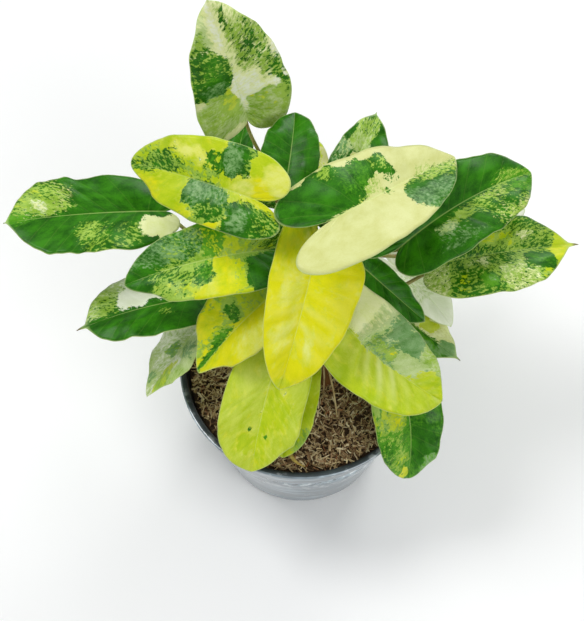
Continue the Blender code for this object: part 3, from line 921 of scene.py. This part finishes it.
def husk_skin():
    """Chopped husk: each chip has its own tone, from nearly black to straw, with fibres along it."""
    look, tree, shader = new_look("husk_skin", 0.85, 0.2)
    tone = stored(tree, "tone")
    place = object_place(tree)
    fibres = noise_node(tree, place, 900.0, 3.0)
    mixed = math_node(tree, "MULTIPLY_ADD", math_node(tree, "SUBTRACT", fibres, 0.5), 0.5, tone)
    ramp = node(tree, "ValToRGB", {0: mixed})
    bands = ramp.color_ramp
    bands.elements[0].position = 0.0
    bands.elements[0].color = linear("281b10")
    bands.elements[1].position = 1.0
    bands.elements[1].color = linear("e6d8b0")
    for position, code in ((0.22, "443120"), (0.45, "8a6e4c"), (0.68, "ccb484")):
        bands.elements.new(position).color = linear(code)
    rusty = stored(tree, "rust")
    colour = blend_colours(tree, rusty, ramp.outputs[0], "9a5a34")
    tree.links.new(colour, shader.inputs["Base Color"])
    bump(tree, shader, fibres, 0.25 * MM, 0.8)
    return look


def sheath_skin():
    """Yellow-brown papery tissue."""
    look, tree, shader = new_look("dry_sheath", 0.6, 0.3)
    colour = blotches_of(tree, 300.0, 4.0, 0.35, 0.65, "d6c46a", "a98a3c")
    tree.links.new(colour, shader.inputs["Base Color"])
    bump(tree, shader, noise_node(tree, object_place(tree), 800.0), 0.2 * MM, 0.8)
    return look


def floor_look():
    """A plain, nearly white floor."""
    look, tree, shader = new_look("pale_floor", 0.6, 0.3)
    colour = blotches_of(tree, 3.0, 3.0, 0.0, 1.0, "f4f4f3", "f7f7f6")
    tree.links.new(colour, shader.inputs["Base Color"])
    return look


def turned(name, profile, sides):
    """A closed round solid: a disc raised ring by ring through (radius, height) places."""
    clear_selection()
    radius, height = profile[0]
    bpy.ops.mesh.primitive_circle_add(vertices=sides, radius=radius, fill_type="NGON",
                                      location=(0, 0, height))
    piece = bpy.context.object
    piece.name = name
    bpy.ops.object.transform_apply(location=True, rotation=True, scale=True)
    bpy.ops.object.mode_set(mode="EDIT")
    bpy.ops.mesh.select_all(action="SELECT")
    for next_radius, next_height in profile[1:]:
        bpy.ops.mesh.extrude_region_move(
            TRANSFORM_OT_translate={"value": (0, 0, next_height - height)})
        grow = next_radius / radius
        bpy.ops.transform.resize(value=(grow, grow, 1), center_override=(0, 0, next_height))
        radius, height = next_radius, next_height
    edit_all(bpy.ops.mesh.normals_make_consistent, inside=False)
    return piece


def wall_radius(height):
    """Outer radius of the pot's tapered wall at a height."""
    return FOOT_RADIUS + (RIM_RADIUS - BAND_STEP - FOOT_RADIUS) * height / POT_HEIGHT


def arc(middle, radius, start, end, steps):
    """Profile points on an arc, with angles in degrees from outwards towards upwards."""
    points = []
    for n in range(steps + 1):
        angle = math.radians(start + (end - start) * n / steps)
        points.append((middle[0] + radius * math.cos(angle), middle[1] + radius * math.sin(angle)))
    return points


def pot_profile():
    """The pot's section as (radius, height): foot, wall, rim band, rolled lip, inner wall, floor."""
    band_low = POT_HEIGHT - BAND_HEIGHT
    lip_radius = LIP_DEPTH / 2
    lip_middle = (RIM_RADIUS + LIP_WIDTH - lip_radius - EASE, POT_HEIGHT - lip_radius)
    inner_top = wall_radius(POT_HEIGHT) - WALL
    foot_inside = FOOT_RADIUS - FOOT_WIDTH
    profile = [(foot_inside - FOOT_RAISE, FOOT_RAISE), (foot_inside, 0.0)]
    profile += arc((FOOT_RADIUS - FOOT_CURVE, FOOT_CURVE), FOOT_CURVE, -90, 0, 6)
    for n in range(1, WALL_RINGS):
        height = FOOT_CURVE + (band_low - FOOT_CURVE) * n / WALL_RINGS
        profile.append((wall_radius(height), height))
    profile += [
        (wall_radius(band_low), band_low - EASE),
        (wall_radius(band_low) + EASE, band_low + EASE),
        (wall_radius(band_low) + BAND_STEP * 0.8, band_low + 3 * EASE),
        (wall_radius(band_low) + BAND_STEP, band_low + BAND_STEP),
        (wall_radius(POT_HEIGHT - LIP_DEPTH) + BAND_STEP, POT_HEIGHT - LIP_DEPTH - 3 * EASE),
    ]
    profile += arc(lip_middle, lip_radius, -90, 90, 10)
    profile += [
        (inner_top + 4 * EASE, POT_HEIGHT),
        (inner_top + EASE, POT_HEIGHT - 1.5 * EASE),
        (inner_top, POT_HEIGHT - 5 * EASE),
    ]
    for n in range(1, INNER_RINGS):
        height = POT_HEIGHT - 5 * EASE - (POT_HEIGHT - FLOOR - 10 * EASE) * n / INNER_RINGS
        profile.append((wall_radius(height) - WALL, height))
    return profile + [(wall_radius(FLOOR) - WALL - 2.5 * EASE, FLOOR), (8 * MM, FLOOR)]


def drill_drains(piece):
    """Cut a ring of drainage holes through the pot's floor."""
    cutters = []
    for n in range(DRAINS):
        angle = 2 * math.pi * (n + 0.5) / DRAINS
        clear_selection()
        bpy.ops.mesh.primitive_cylinder_add(
            vertices=32, radius=DRAIN_RADIUS, depth=6 * FLOOR,
            location=(DRAIN_CIRCLE * math.cos(angle), DRAIN_CIRCLE * math.sin(angle), 0))
        cutters.append(bpy.context.object)
    cutter = join(cutters, "drain_cutter")
    holes = piece.modifiers.new("drains", "BOOLEAN")
    holes.operation = "DIFFERENCE"
    holes.solver = "EXACT"
    holes.object = cutter
    apply_modifiers(piece)
    bpy.data.objects.remove(cutter, do_unlink=True)


def pot():
    """The thin nursery pot, black inside, with worn marks and a painted reflection on the wall and the
    rim outside.
    """
    piece = turned("nursery_pot", pot_profile(), POT_SIDES)
    drill_drains(piece)
    crease(piece.data)
    only(piece)
    bpy.ops.object.shade_smooth_by_angle(angle=SMOOTH_UNDER)
    settle(piece, "black_plastic", pot_plastic("pot_inside", False), pot_plastic("pot_wall", True))
    # The outer wall and the lip's outer half take the look with the painted reflection
    for face in piece.data.polygons:
        outwards = Vector((*face.center.xy, 0)).normalized().dot(face.normal)
        on_wall = outwards > 0.5 and face.center.z < POT_HEIGHT - LIP_DEPTH
        if on_wall or face.center.xy.length > RIM_RADIUS:
            face.material_index = 1
    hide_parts("pot")


def crease(mesh):
    """Buckle the soft outer wall below the front rim, and mark where wall and lip are worn."""
    points = read_points(mesh)
    wear = np.zeros(len(points))
    for n, (x, y, z) in enumerate(points):
        radius = math.hypot(x, y)
        if radius > RIM_RADIUS:
            wear[n] = LIP_WEAR
        on_wall = abs(radius - wall_radius(z)) < EASE / 2
        if not on_wall or not FOOT_CURVE < z < POT_HEIGHT - BAND_HEIGHT:
            continue
        around = Vector((x, y, 0)) / radius
        level = CREASE_LEVEL + CREASE_STRAY * noise.noise(around * CREASE_SWAY)
        patchy = 0.7 + noise.noise(around * 3 + Vector((0, 0, 5)))
        squeezed = max(0.0, around.dot(CREASE_SIDE)) ** 2
        deep = CREASE_DEPTH * min(1.0, max(0.0, patchy)) * squeezed
        fold = math.exp(-((z - level) / CREASE_WIDTH) ** 2)
        swell = math.exp(-((z - level + 3 * CREASE_WIDTH) / (3 * CREASE_WIDTH)) ** 2)
        dents = DENT_DEPTH * noise.noise(Vector((x, y, z)) * DENT_GRAIN)
        shrink = 1 - (deep * (fold - 0.4 * swell) - dents) / radius
        points[n] = (x * shrink, y * shrink, z)
        wear[n] = (fold + 0.5 * swell) * squeezed
    write_points(mesh, points)
    write_values(mesh, "wear", wear)


def soil_height(x, y):
    """Height of the husk's uneven surface at a place."""
    place = Vector((x, y, 0.0))
    lumps = sum(height * noise.noise(place * fineness) for height, fineness in SOIL_LUMPS)
    return SOIL_TOP + lumps * MM


def husk(look):
    """The bed of husk that fills the pot."""
    top_radius = wall_radius(SOIL_TOP) - WALL - SOIL_GAP
    bottom = FLOOR + SOIL_GAP
    profile = [(wall_radius(bottom) - WALL - SOIL_GAP, bottom), (top_radius, SOIL_TOP)]
    for n in range(SOIL_RINGS - 1, 0, -1):
        profile.append((top_radius * n / SOIL_RINGS, SOIL_TOP))
    piece = turned("husk_bed", profile, SOIL_SIDES)
    points = read_points(piece.data)
    for point in points:
        if point[2] > SOIL_TOP - MM and math.hypot(point[0], point[1]) < top_radius - 0.5 * MM:
            point[2] = soil_height(point[0], point[1])
    write_points(piece.data, points)
    tones = [0.1 + 0.25 * noise.noise(Vector(point) * 420) for point in points]
    write_values(piece.data, "tone", tones)
    write_values(piece.data, "rust", np.zeros(len(points)))
    piece.data.shade_smooth()
    settle(piece, "husk", look)
    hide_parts("soil")


def chip_shape(taper, sweep, back_sweep):
    """One husk chip, 1 long: a three-sided sliver with a thinned end, bent to one side and back."""
    clear_selection()
    bpy.ops.mesh.primitive_cylinder_add(vertices=3, radius=0.58, depth=1, end_fill_type="NGON",
                                        rotation=(0, math.pi / 2, 0))
    piece = bpy.context.object
    bpy.ops.object.transform_apply(location=True, rotation=True, scale=True)
    bpy.ops.object.mode_set(mode="EDIT")
    bpy.ops.mesh.select_all(action="DESELECT")
    bpy.ops.object.mode_set(mode="OBJECT")
    for face in piece.data.polygons:
        face.select = face.normal.x > 0.9
    bpy.ops.object.mode_set(mode="EDIT")
    bpy.ops.mesh.extrude_region_move(TRANSFORM_OT_translate={"value": (1, sweep, 0.2)})
    bpy.ops.mesh.extrude_region_move(TRANSFORM_OT_translate={"value": (1, back_sweep, 0)})
    bpy.ops.transform.resize(value=(1, taper, taper), center_override=(2.5, sweep + back_sweep, 0))
    bpy.ops.object.mode_set(mode="OBJECT")
    points = read_points(piece.data)
    points[:, 0] = points[:, 0] / 3 - 1 / 3
    write_points(piece.data, points)
    return piece


def chips(look):
    """Loose chips strewn over the husk, all copied from three forms, the paler ones uppermost."""
    draw = random.Random(11)
    reach = wall_radius(SOIL_TOP) - WALL - 2.6 * MM
    patterns = []
    for form in CHIP_FORMS:
        shape = chip_shape(*form)
        faces = [tuple(face.vertices) for face in shape.data.polygons]
        patterns.append((read_points(shape.data), faces))
        bpy.data.objects.remove(shape, do_unlink=True)
    points, faces, tones, rust = [], [], [], []
    for _ in range(CHIPS):
        corners, sides = draw.choice(patterns)
        far = reach * math.sqrt(draw.random())
        turn = draw.uniform(0, 2 * math.pi)
        x, y = far * math.cos(turn), far * math.sin(turn)
        long = draw.triangular(*CHIP_LENGTH) * MM
        wide = draw.triangular(*CHIP_WIDTH) * MM
        deep = draw.uniform(*CHIP_DEPTH) * MM
        tilt = Matrix.Rotation(draw.gauss(0, CHIP_TILT), 3, "Y")
        spin = Matrix.Rotation(draw.uniform(0, 2 * math.pi), 3, "Z")
        roll = Matrix.Rotation(draw.gauss(0, CHIP_ROLL), 3, "X")
        turned_by = np.array(spin @ tilt @ roll)
        level = draw.random()
        lift = soil_height(x, y) + (CHIP_PILE * level - CHIP_SUNK) * MM
        placed = (corners * (long, wide, deep)) @ turned_by.T + (x, y, lift)
        start = len(points) * len(corners)
        points.append(placed)
        faces += [tuple(start + n for n in side) for side in sides]
        tones += [0.02 + 0.48 * level + 0.62 * draw.random() ** 1.9] * len(corners)
        rust += [RUSTINESS if draw.random() < RUSTY_SHARE else 0.0] * len(corners)
    mesh = bpy.data.meshes.new("husk_chips")
    mesh.from_pydata(np.concatenate(points).tolist(), [], faces)
    piece = bpy.data.objects.new("husk_chips", mesh)
    bpy.context.scene.collection.objects.link(piece)
    write_values(mesh, "tone", tones)
    write_values(mesh, "rust", rust)
    only(piece)
    edit_all(bpy.ops.mesh.normals_make_consistent, inside=False)
    settle(piece, "husk", look)


def cubic(a, b, c, d, t):
    """The point, or one coordinate of many points, at share t of a cubic curve."""
    s = 1 - t
    return a * s ** 3 + b * 3 * s * s * t + c * 3 * s * t * t + d * t ** 3


def rod(name, points, radii, ages, resolution=4):
    """A round rod along points, with a radius and an age at each."""
    curve = bpy.data.curves.new(name, "CURVE")
    curve.dimensions = "3D"
    curve.bevel_depth = 1.0
    curve.bevel_resolution = resolution
    curve.use_fill_caps = True
    spline = curve.splines.new("POLY")
    spline.points.add(len(points) - 1)
    for spot, point, radius in zip(spline.points, points, radii):
        spot.co = (*point, 1.0)
        spot.radius = radius
    piece = bpy.data.objects.new(name, curve)
    bpy.context.scene.collection.objects.link(piece)
    only(piece)
    bpy.ops.object.convert(target="MESH")
    piece = bpy.context.object
    line = np.array([tuple(point) for point in points])
    spots = read_points(piece.data)
    nearest = np.argmin(((spots[:, None, :] - line[None, :, :]) ** 2).sum(axis=2), axis=1)
    write_values(piece.data, "age", np.asarray(ages)[nearest])
    piece.data.shade_smooth()
    return piece


def vector(triple):
    """A named place in mm as a vector in metres."""
    return Vector(triple) * MM


def stem_line(stem):
    """The stem's middle line above the husk, from foot to growing tip, as a cubic curve."""
    foot = vector((*stem.foot, SOIL_TOP / MM))
    top = vector(stem.top)
    return foot, foot + Vector((0, 0, (top.z - foot.z) * 0.5)), top - (top - foot) * 0.2, top


def leaf_axes(leaf):
    """The blade's forward, leftward and upward directions at its base."""
    turn = math.radians(leaf.heading)
    rise = math.radians(leaf.pitch)
    tilt = math.radians(leaf.roll)
    forward = Vector((math.cos(turn) * math.cos(rise), math.sin(turn) * math.cos(rise), math.sin(rise)))
    level = Vector((-math.sin(turn), math.cos(turn), 0))
    over = forward.cross(level)
    left = level * math.cos(tilt) + over * math.sin(tilt)
    return forward, left, forward.cross(left)


def stalk(leaf):
    """A leaf stalk, from its stem to the underside of its blade."""
    forward, _, over = leaf_axes(leaf)
    up = Vector((0, 0, 1))
    start = cubic(*stem_line(STEMS[leaf.stem]), leaf.rise)
    arrival = (forward * (1 - leaf.arrive) + (over + up) * leaf.arrive * 0.5).normalized()
    lean = math.sqrt(max(0.0, 1 - arrival.dot(over) ** 2))
    below = CAD_THICKNESS / 2 + STALK_GAP + STALK_TIP_RADIUS * lean
    end = vector(leaf.base) + forward * STALK_REACH - over * below
    span = (end - start).length
    away = Vector((end.x - start.x, end.y - start.y, 0)).normalized()
    leave = (away * STALK_OUT + up * STALK_UP).normalized()
    under = end - arrival * span * TIP_PULL + vector((*leaf.bow, 0))
    points, radii, ages = [], [], []
    for n in range(STALK_STEPS + 1):
        t = n / STALK_STEPS
        points.append(cubic(start, start + leave * span * FOOT_PULL, under, end, t))
        radii.append(STALK_RADIUS + (STALK_FOOT_RADIUS - STALK_RADIUS) * max(0.0, 1 - 3 * t) ** 1.5
                     - (STALK_RADIUS - STALK_TIP_RADIUS) * t)
        ages.append(0.5 * (1 - t))
    return rod("stalk", points, radii, ages)


def stem_body(stem):
    """The stem itself, ringed by leaf scars, with its growing bud."""
    line = stem_line(stem)
    length = (line[3] - line[0]).length
    steps = round(length / KNOT_SPACING * KNOT_STEPS)
    points = [line[0] - Vector((0, 0, STEM_BURIED))]
    radii = [STEM_RADIUS]
    ages = [1.0]
    for n in range(steps + 1):
        points.append(cubic(*line, n / steps))
        off_knot = abs((n / KNOT_STEPS) % 1.0 - 0.5) * 2
        radii.append(STEM_RADIUS + STEM_KNOT * max(0.0, off_knot - 1 + KNOT_SHARE) / KNOT_SHARE)
        ages.append(1.0 - 0.5 * n / steps)
    heading = (points[-1] - points[-2]).normalized()
    for share in (0.15, 0.3, 0.45, 0.6, 0.75, 0.9, 1.0):
        points.append(line[3] + heading * BUD_LENGTH * share)
        radii.append(STEM_RADIUS * (1 - share ** 1.4) + BUD_TIP_RADIUS)
        ages.append(BUD_AGE)
    return rod("stem", points, radii, ages, resolution=6)


def stems():
    """Each stem with the stalks that grow from it, as one piece."""
    look = stalk_skin()
    for name, stem in STEMS.items():
        parts = [stem_body(stem)]
        parts += [stalk(leaf) for leaf in LEAVES if leaf.stem == name]
        piece = join(parts, name.replace("stem", "growth"))
        settle(piece, "stem", look)
        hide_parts(name)


def roots():
    """Thin aerial roots that drop from the stems and go down into the husk."""
    parts = []
    for route in ROOTS:
        start, middle, end = (vector(spot) for spot in route)
        above = end + Vector((0, 0, ROOT_DROP))
        points = [cubic(start, middle, above, end, n / ROOT_STEPS) for n in range(ROOT_STEPS + 1)]
        points.append(end - Vector((0, 0, ROOT_BURIED)))
        radii = [ROOT_RADIUS - ROOT_THINNING * n / len(points) for n in range(len(points))]
        parts.append(rod("root", points, radii, [0.0] * len(points), resolution=3))
    settle(join(parts, "aerial_roots"), "stem", root_skin())


def dry_sheath():
    """A dried, papery leaf sheath that lies on the husk by the front rim."""
    clear_selection()
    bpy.ops.mesh.primitive_grid_add(x_subdivisions=24, y_subdivisions=6, size=2)
    piece = bpy.context.object
    piece.name = "dry_sheath"
    start = vector(SHEATH_START)
    end = vector(SHEATH_END)
    ahead = (end - start).normalized()
    side = ahead.cross(Vector((0, 0, 1)))
    points = read_points(piece.data)
    for point in points:
        t = (point[0] + 1) / 2
        reach = (end - start) * t + side * SHEATH_BOW * math.sin(math.pi * t)
        width = SHEATH_WIDTH * (1 - t) ** 0.6 + SHEATH_TIP
        curl = SHEATH_CURL * point[1] ** 2 * (1 - t) + SHEATH_LIFT * math.sin(3 * t) ** 2
        point[:] = start + reach + side * point[1] * width + Vector((0, 0, curl))
    write_points(piece.data, points)
    wall = piece.modifiers.new("wall", "SOLIDIFY")
    wall.thickness = SHEATH_THICKNESS
    apply_modifiers(piece)
    piece.data.shade_smooth()
    settle(piece, "stem", sheath_skin())


def outline(leaf, width, lobe, pull_in, share):
    """Along and across places of one side's edge, from the notch round the lobe to the tip."""
    length = leaf.length * MM
    wide = leaf.widest * length
    back = LOBE_PULL * lobe + LOBE_SHARE * wide
    t = np.clip(share / LOBE_SHARE_OF_ROWS, 0, 1)
    lobe_along = cubic(0, -back, -back, wide, t)
    lobe_across = cubic(0, NOTCH_WIDTH * width, width, width, t)
    t = np.clip((share - LOBE_SHARE_OF_ROWS) / (1 - LOBE_SHARE_OF_ROWS), 0, 1)
    shoulder = wide + SHOULDER * (length - wide)
    near_tip = NEAR_TIP_WIDTH * width * leaf.fullness + TIP_WIDTH * length
    edge_along = cubic(wide, shoulder, NEAR_TIP * length, length, t)
    edge_across = cubic(width, width, near_tip, 0, t)
    on_lobe = share < LOBE_SHARE_OF_ROWS
    along = np.where(on_lobe, lobe_along, edge_along)
    across = np.where(on_lobe, lobe_across, edge_across)
    drawn = np.clip(1 - ((along / length - DRIP_MIDDLE) / DRIP_REACH) ** 2, 0, 1)
    across = across * (1 - pull_in * drawn)
    if leaf.tail:
        left_over = np.maximum(1 - along / length, 0)
        thread = THREAD_TAPER * length * left_over
        thread += leaf.spread * length * np.maximum(left_over - leaf.tail, 0) ** THREAD_FLARE
        meet = (across ** TIP_BLEND + thread ** TIP_BLEND) ** (1 / TIP_BLEND)
        across = across * thread / np.maximum(meet, 1e-9)
    (slow, slow_turns), (fast, fast_turns) = RIPPLES
    ripple = slow * np.sin(slow_turns * share + leaf.heading)
    ripple += fast * np.sin(fast_turns * share + leaf.pitch)
    return along, across * (1 + ripple * leaf.waves)


def midrib(leaf):
    """Points and local axes along the drooping midrib, as arrays."""
    forward, left, over = leaf_axes(leaf)
    step = leaf.length * MM / MIDRIB_STEPS
    point = vector(leaf.base)
    rows = []
    for n in range(MIDRIB_STEPS + 1):
        share = n / MIDRIB_STEPS
        drop = math.radians(leaf.droop) * share
        swing = math.radians(leaf.sway) * share
        ahead = (forward * math.cos(swing) + left * math.sin(swing)) * math.cos(drop)
        ahead -= over * math.sin(drop)
        side = left * math.cos(swing) - forward * math.sin(swing)
        rows.append([point.copy(), ahead, side, ahead.cross(side)])
        point += ahead * step
    return np.array([[tuple(cell) for cell in row] for row in rows])


def relief(leaf, along, across, share, row):
    """Height of the fine forms over the folded blade.

    They are the waves and the frill of the edge, the arch of each half and its slow swells, which
    all fade towards the midrib, then the quilting between the veins and the midrib's channel.
    """
    a = np.clip(along / (leaf.length * MM), 0, 1)
    reach = np.minimum(1.0, np.abs(across) / WAVE_START)
    wave = WAVE_HEIGHT * np.sin(2 * np.pi * WAVE_COUNT * a + leaf.heading) * share ** 2
    frill = FRILL_HEIGHT * leaf.waves * np.sin(FRILL_TURNS * a + 3 * np.sign(across)) * share ** 3
    arch = ARCH_HEIGHT * np.sin(np.pi * share)
    swell = SWELL_HEIGHT * np.sin(SWELL_TURNS[0] * a + SWELL_SLANT * across + leaf.roll)
    swell *= np.sin(SWELL_TURNS[1] * a + leaf.heading)
    quilt = np.abs(np.sin(np.pi * VEIN_PAIRS * row)) ** 0.8 - 0.5
    quilt *= QUILT_HEIGHT * leaf.pleats * np.sin(np.pi * share) ** 0.6 * (1 - 0.4 * a)
    channel = CHANNEL_DEPTH * np.exp(-(across / CHANNEL_WIDTH) ** 2) * (1 - 0.6 * a)
    return (wave + frill + arch + swell) * reach + quilt - channel


def on_blade(leaf, along, across, height):
    """Places of flat blade points on the bent and folded blade, and the way up at each."""
    places = midrib(leaf)
    at = np.clip(along / (leaf.length * MM), 0, 1) * MIDRIB_STEPS
    low = np.minimum(at.astype(int), MIDRIB_STEPS - 1)
    part = (at - low)[:, None, None]
    rows = places[low] * (1 - part) + places[low + 1] * part
    point, ahead, side, over = (rows[:, n] for n in range(4))
    rise = np.abs(across) * math.sin(BLADE_FOLD) + height
    spots = point + ahead * np.minimum(along, 0)[:, None]
    spots += side * (across * math.cos(BLADE_FOLD))[:, None] + over * rise[:, None]
    return spots, over


def wander(a, b, number):
    """How far patch outlines stray from their plan at each point, along and across."""
    strays = []
    for side in (0.0, 50.0):
        stray = [WANDER * noise.noise(Vector((9 * x, 9 * y, number + side)))
                 + FINE_WANDER * noise.noise(Vector((26 * x, 26 * y, number + side)))
                 for x, y in zip(a, b)]
        strays.append(np.array(stray))
    return strays[0], strays[1] * np.minimum(1, np.abs(b) / WANDER)


def claim(tone, tones):
    """How strongly a tone claims a patch of these tones: the first named the most."""
    names = tones.split()
    return 1.0 - HANDICAP * names.index(tone) if tone in names else -1.0


def paint(leaf, mesh, number, a, b):
    """Store how strongly each tone claims each point, from -1 to 1, from the leaf's patches."""
    ground, patches = PATTERNS[leaf.name]
    fields = {tone: np.full(len(a), claim(tone, ground)) for tone in TONES}
    stray_a, stray_b = wander(a, b, number)
    a, b = a + stray_a, b + stray_b
    for tones, *edges in patches:
        start, end, low, high = (edge / 100 for edge in edges[:4])
        lean = sum(edges[4:])
        middle = (start + end) / 2 + lean * np.abs(b)
        off_along = np.abs(a - middle) / (end - start) * 2
        off_across = np.abs(b - (low + high) / 2) / (high - low) * 2
        off = off_along ** PATCH_SQUARENESS + off_across ** PATCH_SQUARENESS
        off = off ** (1 / PATCH_SQUARENESS)
        inside = (1 - off) * min(end - start, high - low) / 2
        cover = np.clip(inside / PATCH_DEPTH / 2 + 0.5, 0, 1)
        for tone in TONES:
            fields[tone] += (claim(tone, tones) - fields[tone]) * cover
    for tone, field in fields.items():
        write_values(mesh, tone, field)


def flat_place(leaf, row, share, on_left):
    """Along and across places of points of the flat blade, by row and by share from rib to edge."""
    left = outline(leaf, leaf.left * MM, leaf.left_lobe * MM, leaf.drip[0], row)
    right = outline(leaf, leaf.right * MM, leaf.right_lobe * MM, leaf.drip[1], row)
    rib = leaf.length * MM * row ** VEIN_LEAN
    edge_along = np.where(on_left, left[0], right[0])
    edge_across = np.where(on_left, left[1], -right[1])
    return rib + (edge_along - rib) * share, edge_across * share


def bend_blade(leaf, mesh):
    """Shape the flat grid into the blade's upper face, and store what its pattern is laid out by."""
    length = leaf.length * MM
    flat = read_points(mesh)
    row = (flat[:, 0] + 1) / 2
    share = np.abs(flat[:, 1]) ** RIB_CROWDING
    on_left = flat[:, 1] > 0
    along, across = flat_place(leaf, row, share, on_left)
    ahead = flat_place(leaf, np.minimum(row + ROW_NUDGE, 1), share, on_left)
    vein_gap = np.hypot(ahead[0] - along, ahead[1] - across) / ROW_NUDGE / VEIN_PAIRS
    rib = length * row ** VEIN_LEAN
    height = relief(leaf, along, across, share, row)
    spots, over = on_blade(leaf, along, across, height)
    write_points(mesh, spots)
    write_values(mesh, "vein_gap", vein_gap / VEIN_HALF_WIDTH)
    # Painted highlight between the veins, fading towards rib and edge, scaled for each side
    between = np.abs(np.sin(np.pi * VEIN_PAIRS * row)) ** 4 * share ** 0.3 * (1 - share) ** 1.5
    between *= np.sin(7 * row + 0.06 * leaf.heading) ** 2
    write_values(mesh, "painted_highlights", between * np.where(on_left, *leaf.painted_highlights))
    tip = (along / length - 1 + DRY_SHARE * leaf.tail) / DRY_BLEND
    write_values(mesh, "dry", DRYNESS * np.clip(tip, 0, 1) * (leaf.tail > 0))
    from_edge = np.abs(across) * (1 / np.maximum(share, 0.01) - 1)
    write_values(mesh, "from_edge", from_edge / MARGIN_WIDTH)
    reach = np.hypot(along - rib, across) * np.sign(across)
    for name, values in zip(LAYOUT, (along, across, row, reach, *over.T)):
        write_values(mesh, name, values)


def blade(leaf, number, looks):
    """One leaf blade with its pattern, veins, keel and edge."""
    clear_selection()
    bpy.ops.mesh.primitive_grid_add(x_subdivisions=ROWS, y_subdivisions=2 * STRIPS, size=2)
    piece = bpy.context.object
    piece.name = leaf.name.replace("leaf", "blade")
    mesh = piece.data
    bend_blade(leaf, mesh)
    edit_all(bpy.ops.mesh.remove_doubles, threshold=MERGE_UNDER)
    along, across, row, reach, *over = (read_values(mesh, name) for name in LAYOUT)
    for name in LAYOUT:
        mesh.attributes.remove(mesh.attributes[name])
    length = leaf.length * MM
    paint(leaf, mesh, number, along / length, across / length)
    a = np.clip(along / length, 0, 1)
    write_map(mesh, "veins", reach * GRAIN_SCALE / leaf.streaks + number, row * length * GRAIN_SCALE)
    write_map(mesh, "ribs", across / (RIB_HALF_WIDTH * (1.2 - a)), row * VEIN_PAIRS)
    count = len(mesh.vertices)
    wall = piece.modifiers.new("wall", "SOLIDIFY")
    wall.thickness = BLADE_THICKNESS
    wall.offset = 0
    wall.material_offset = 1
    wall.material_offset_rim = 2
    settle(piece, leaf.slot, *looks)
    apply_modifiers(piece)
    mesh = piece.data
    points = read_points(mesh)
    keel = KEEL_HEIGHT * np.exp(-(across / KEEL_WIDTH) ** 2) * (1 - 0.8 * a) * (along > -MM)
    points[count:2 * count] -= np.stack(over, axis=1) * keel[:, None]
    write_points(mesh, points)
    mesh.shade_smooth()
    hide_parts(leaf.name)


def leaves():
    """All blades. They share one look for the upper face, one for the underside, one for the edge."""
    looks = (leaf_skin("leaf_skin"), leaf_skin("leaf_underside", under=True), leaf_edge())
    for number, leaf in enumerate(LEAVES):
        blade(leaf, number, looks)


def camera():
    """The photograph's view."""
    forward = Vector((0, math.cos(VIEW_RISE), -math.sin(VIEW_RISE)))
    up = Vector((0, math.sin(VIEW_RISE), math.cos(VIEW_RISE)))
    eye = bpy.data.cameras.new("camera")
    eye.lens = VIEW_LENS
    eye.sensor_width = VIEW_SENSOR
    holder = bpy.data.objects.new("camera", eye)
    holder.location = VIEW_AIM - forward * VIEW_DISTANCE + Vector((VIEW_RIGHT, 0, 0)) + up * VIEW_UP
    holder.rotation_euler = (math.pi / 2 - VIEW_RISE, 0, 0)
    bpy.context.scene.collection.objects.link(holder)
    bpy.context.scene.camera = holder


def area_light(name, place, size, power):
    """A round soft light that shines on the plant."""
    lamp = bpy.data.lights.new(name, "AREA")
    lamp.shape = "DISK"
    lamp.size = size
    lamp.energy = power
    holder = bpy.data.objects.new(name, lamp)
    holder.location = place
    holder.rotation_mode = "QUATERNION"
    holder.rotation_quaternion = (LIGHT_AIM - Vector(place)).to_track_quat("-Z", "Y")
    bpy.context.scene.collection.objects.link(holder)


def studio():
    """A plain pale floor under a soft sky and three soft lights."""
    clear_selection()
    bpy.ops.mesh.primitive_plane_add(size=FLOOR_SIZE)
    floor = bpy.context.object
    floor.name = "floor"
    floor.data.materials.append(floor_look())
    world = bpy.data.worlds.new("studio")
    world.use_nodes = True
    sky = world.node_tree.nodes["Background"]
    sky.inputs["Color"].default_value = SKY_COLOUR
    sky.inputs["Strength"].default_value = SKY_STRENGTH
    bpy.context.scene.world = world
    for light in LIGHTS:
        area_light(*light)
    bpy.context.scene.view_settings.view_transform = "Standard"


camera()
studio()
pot()
husk_look = husk_skin()
husk(husk_look)
chips(husk_look)
stems()
roots()
dry_sheath()
leaves()
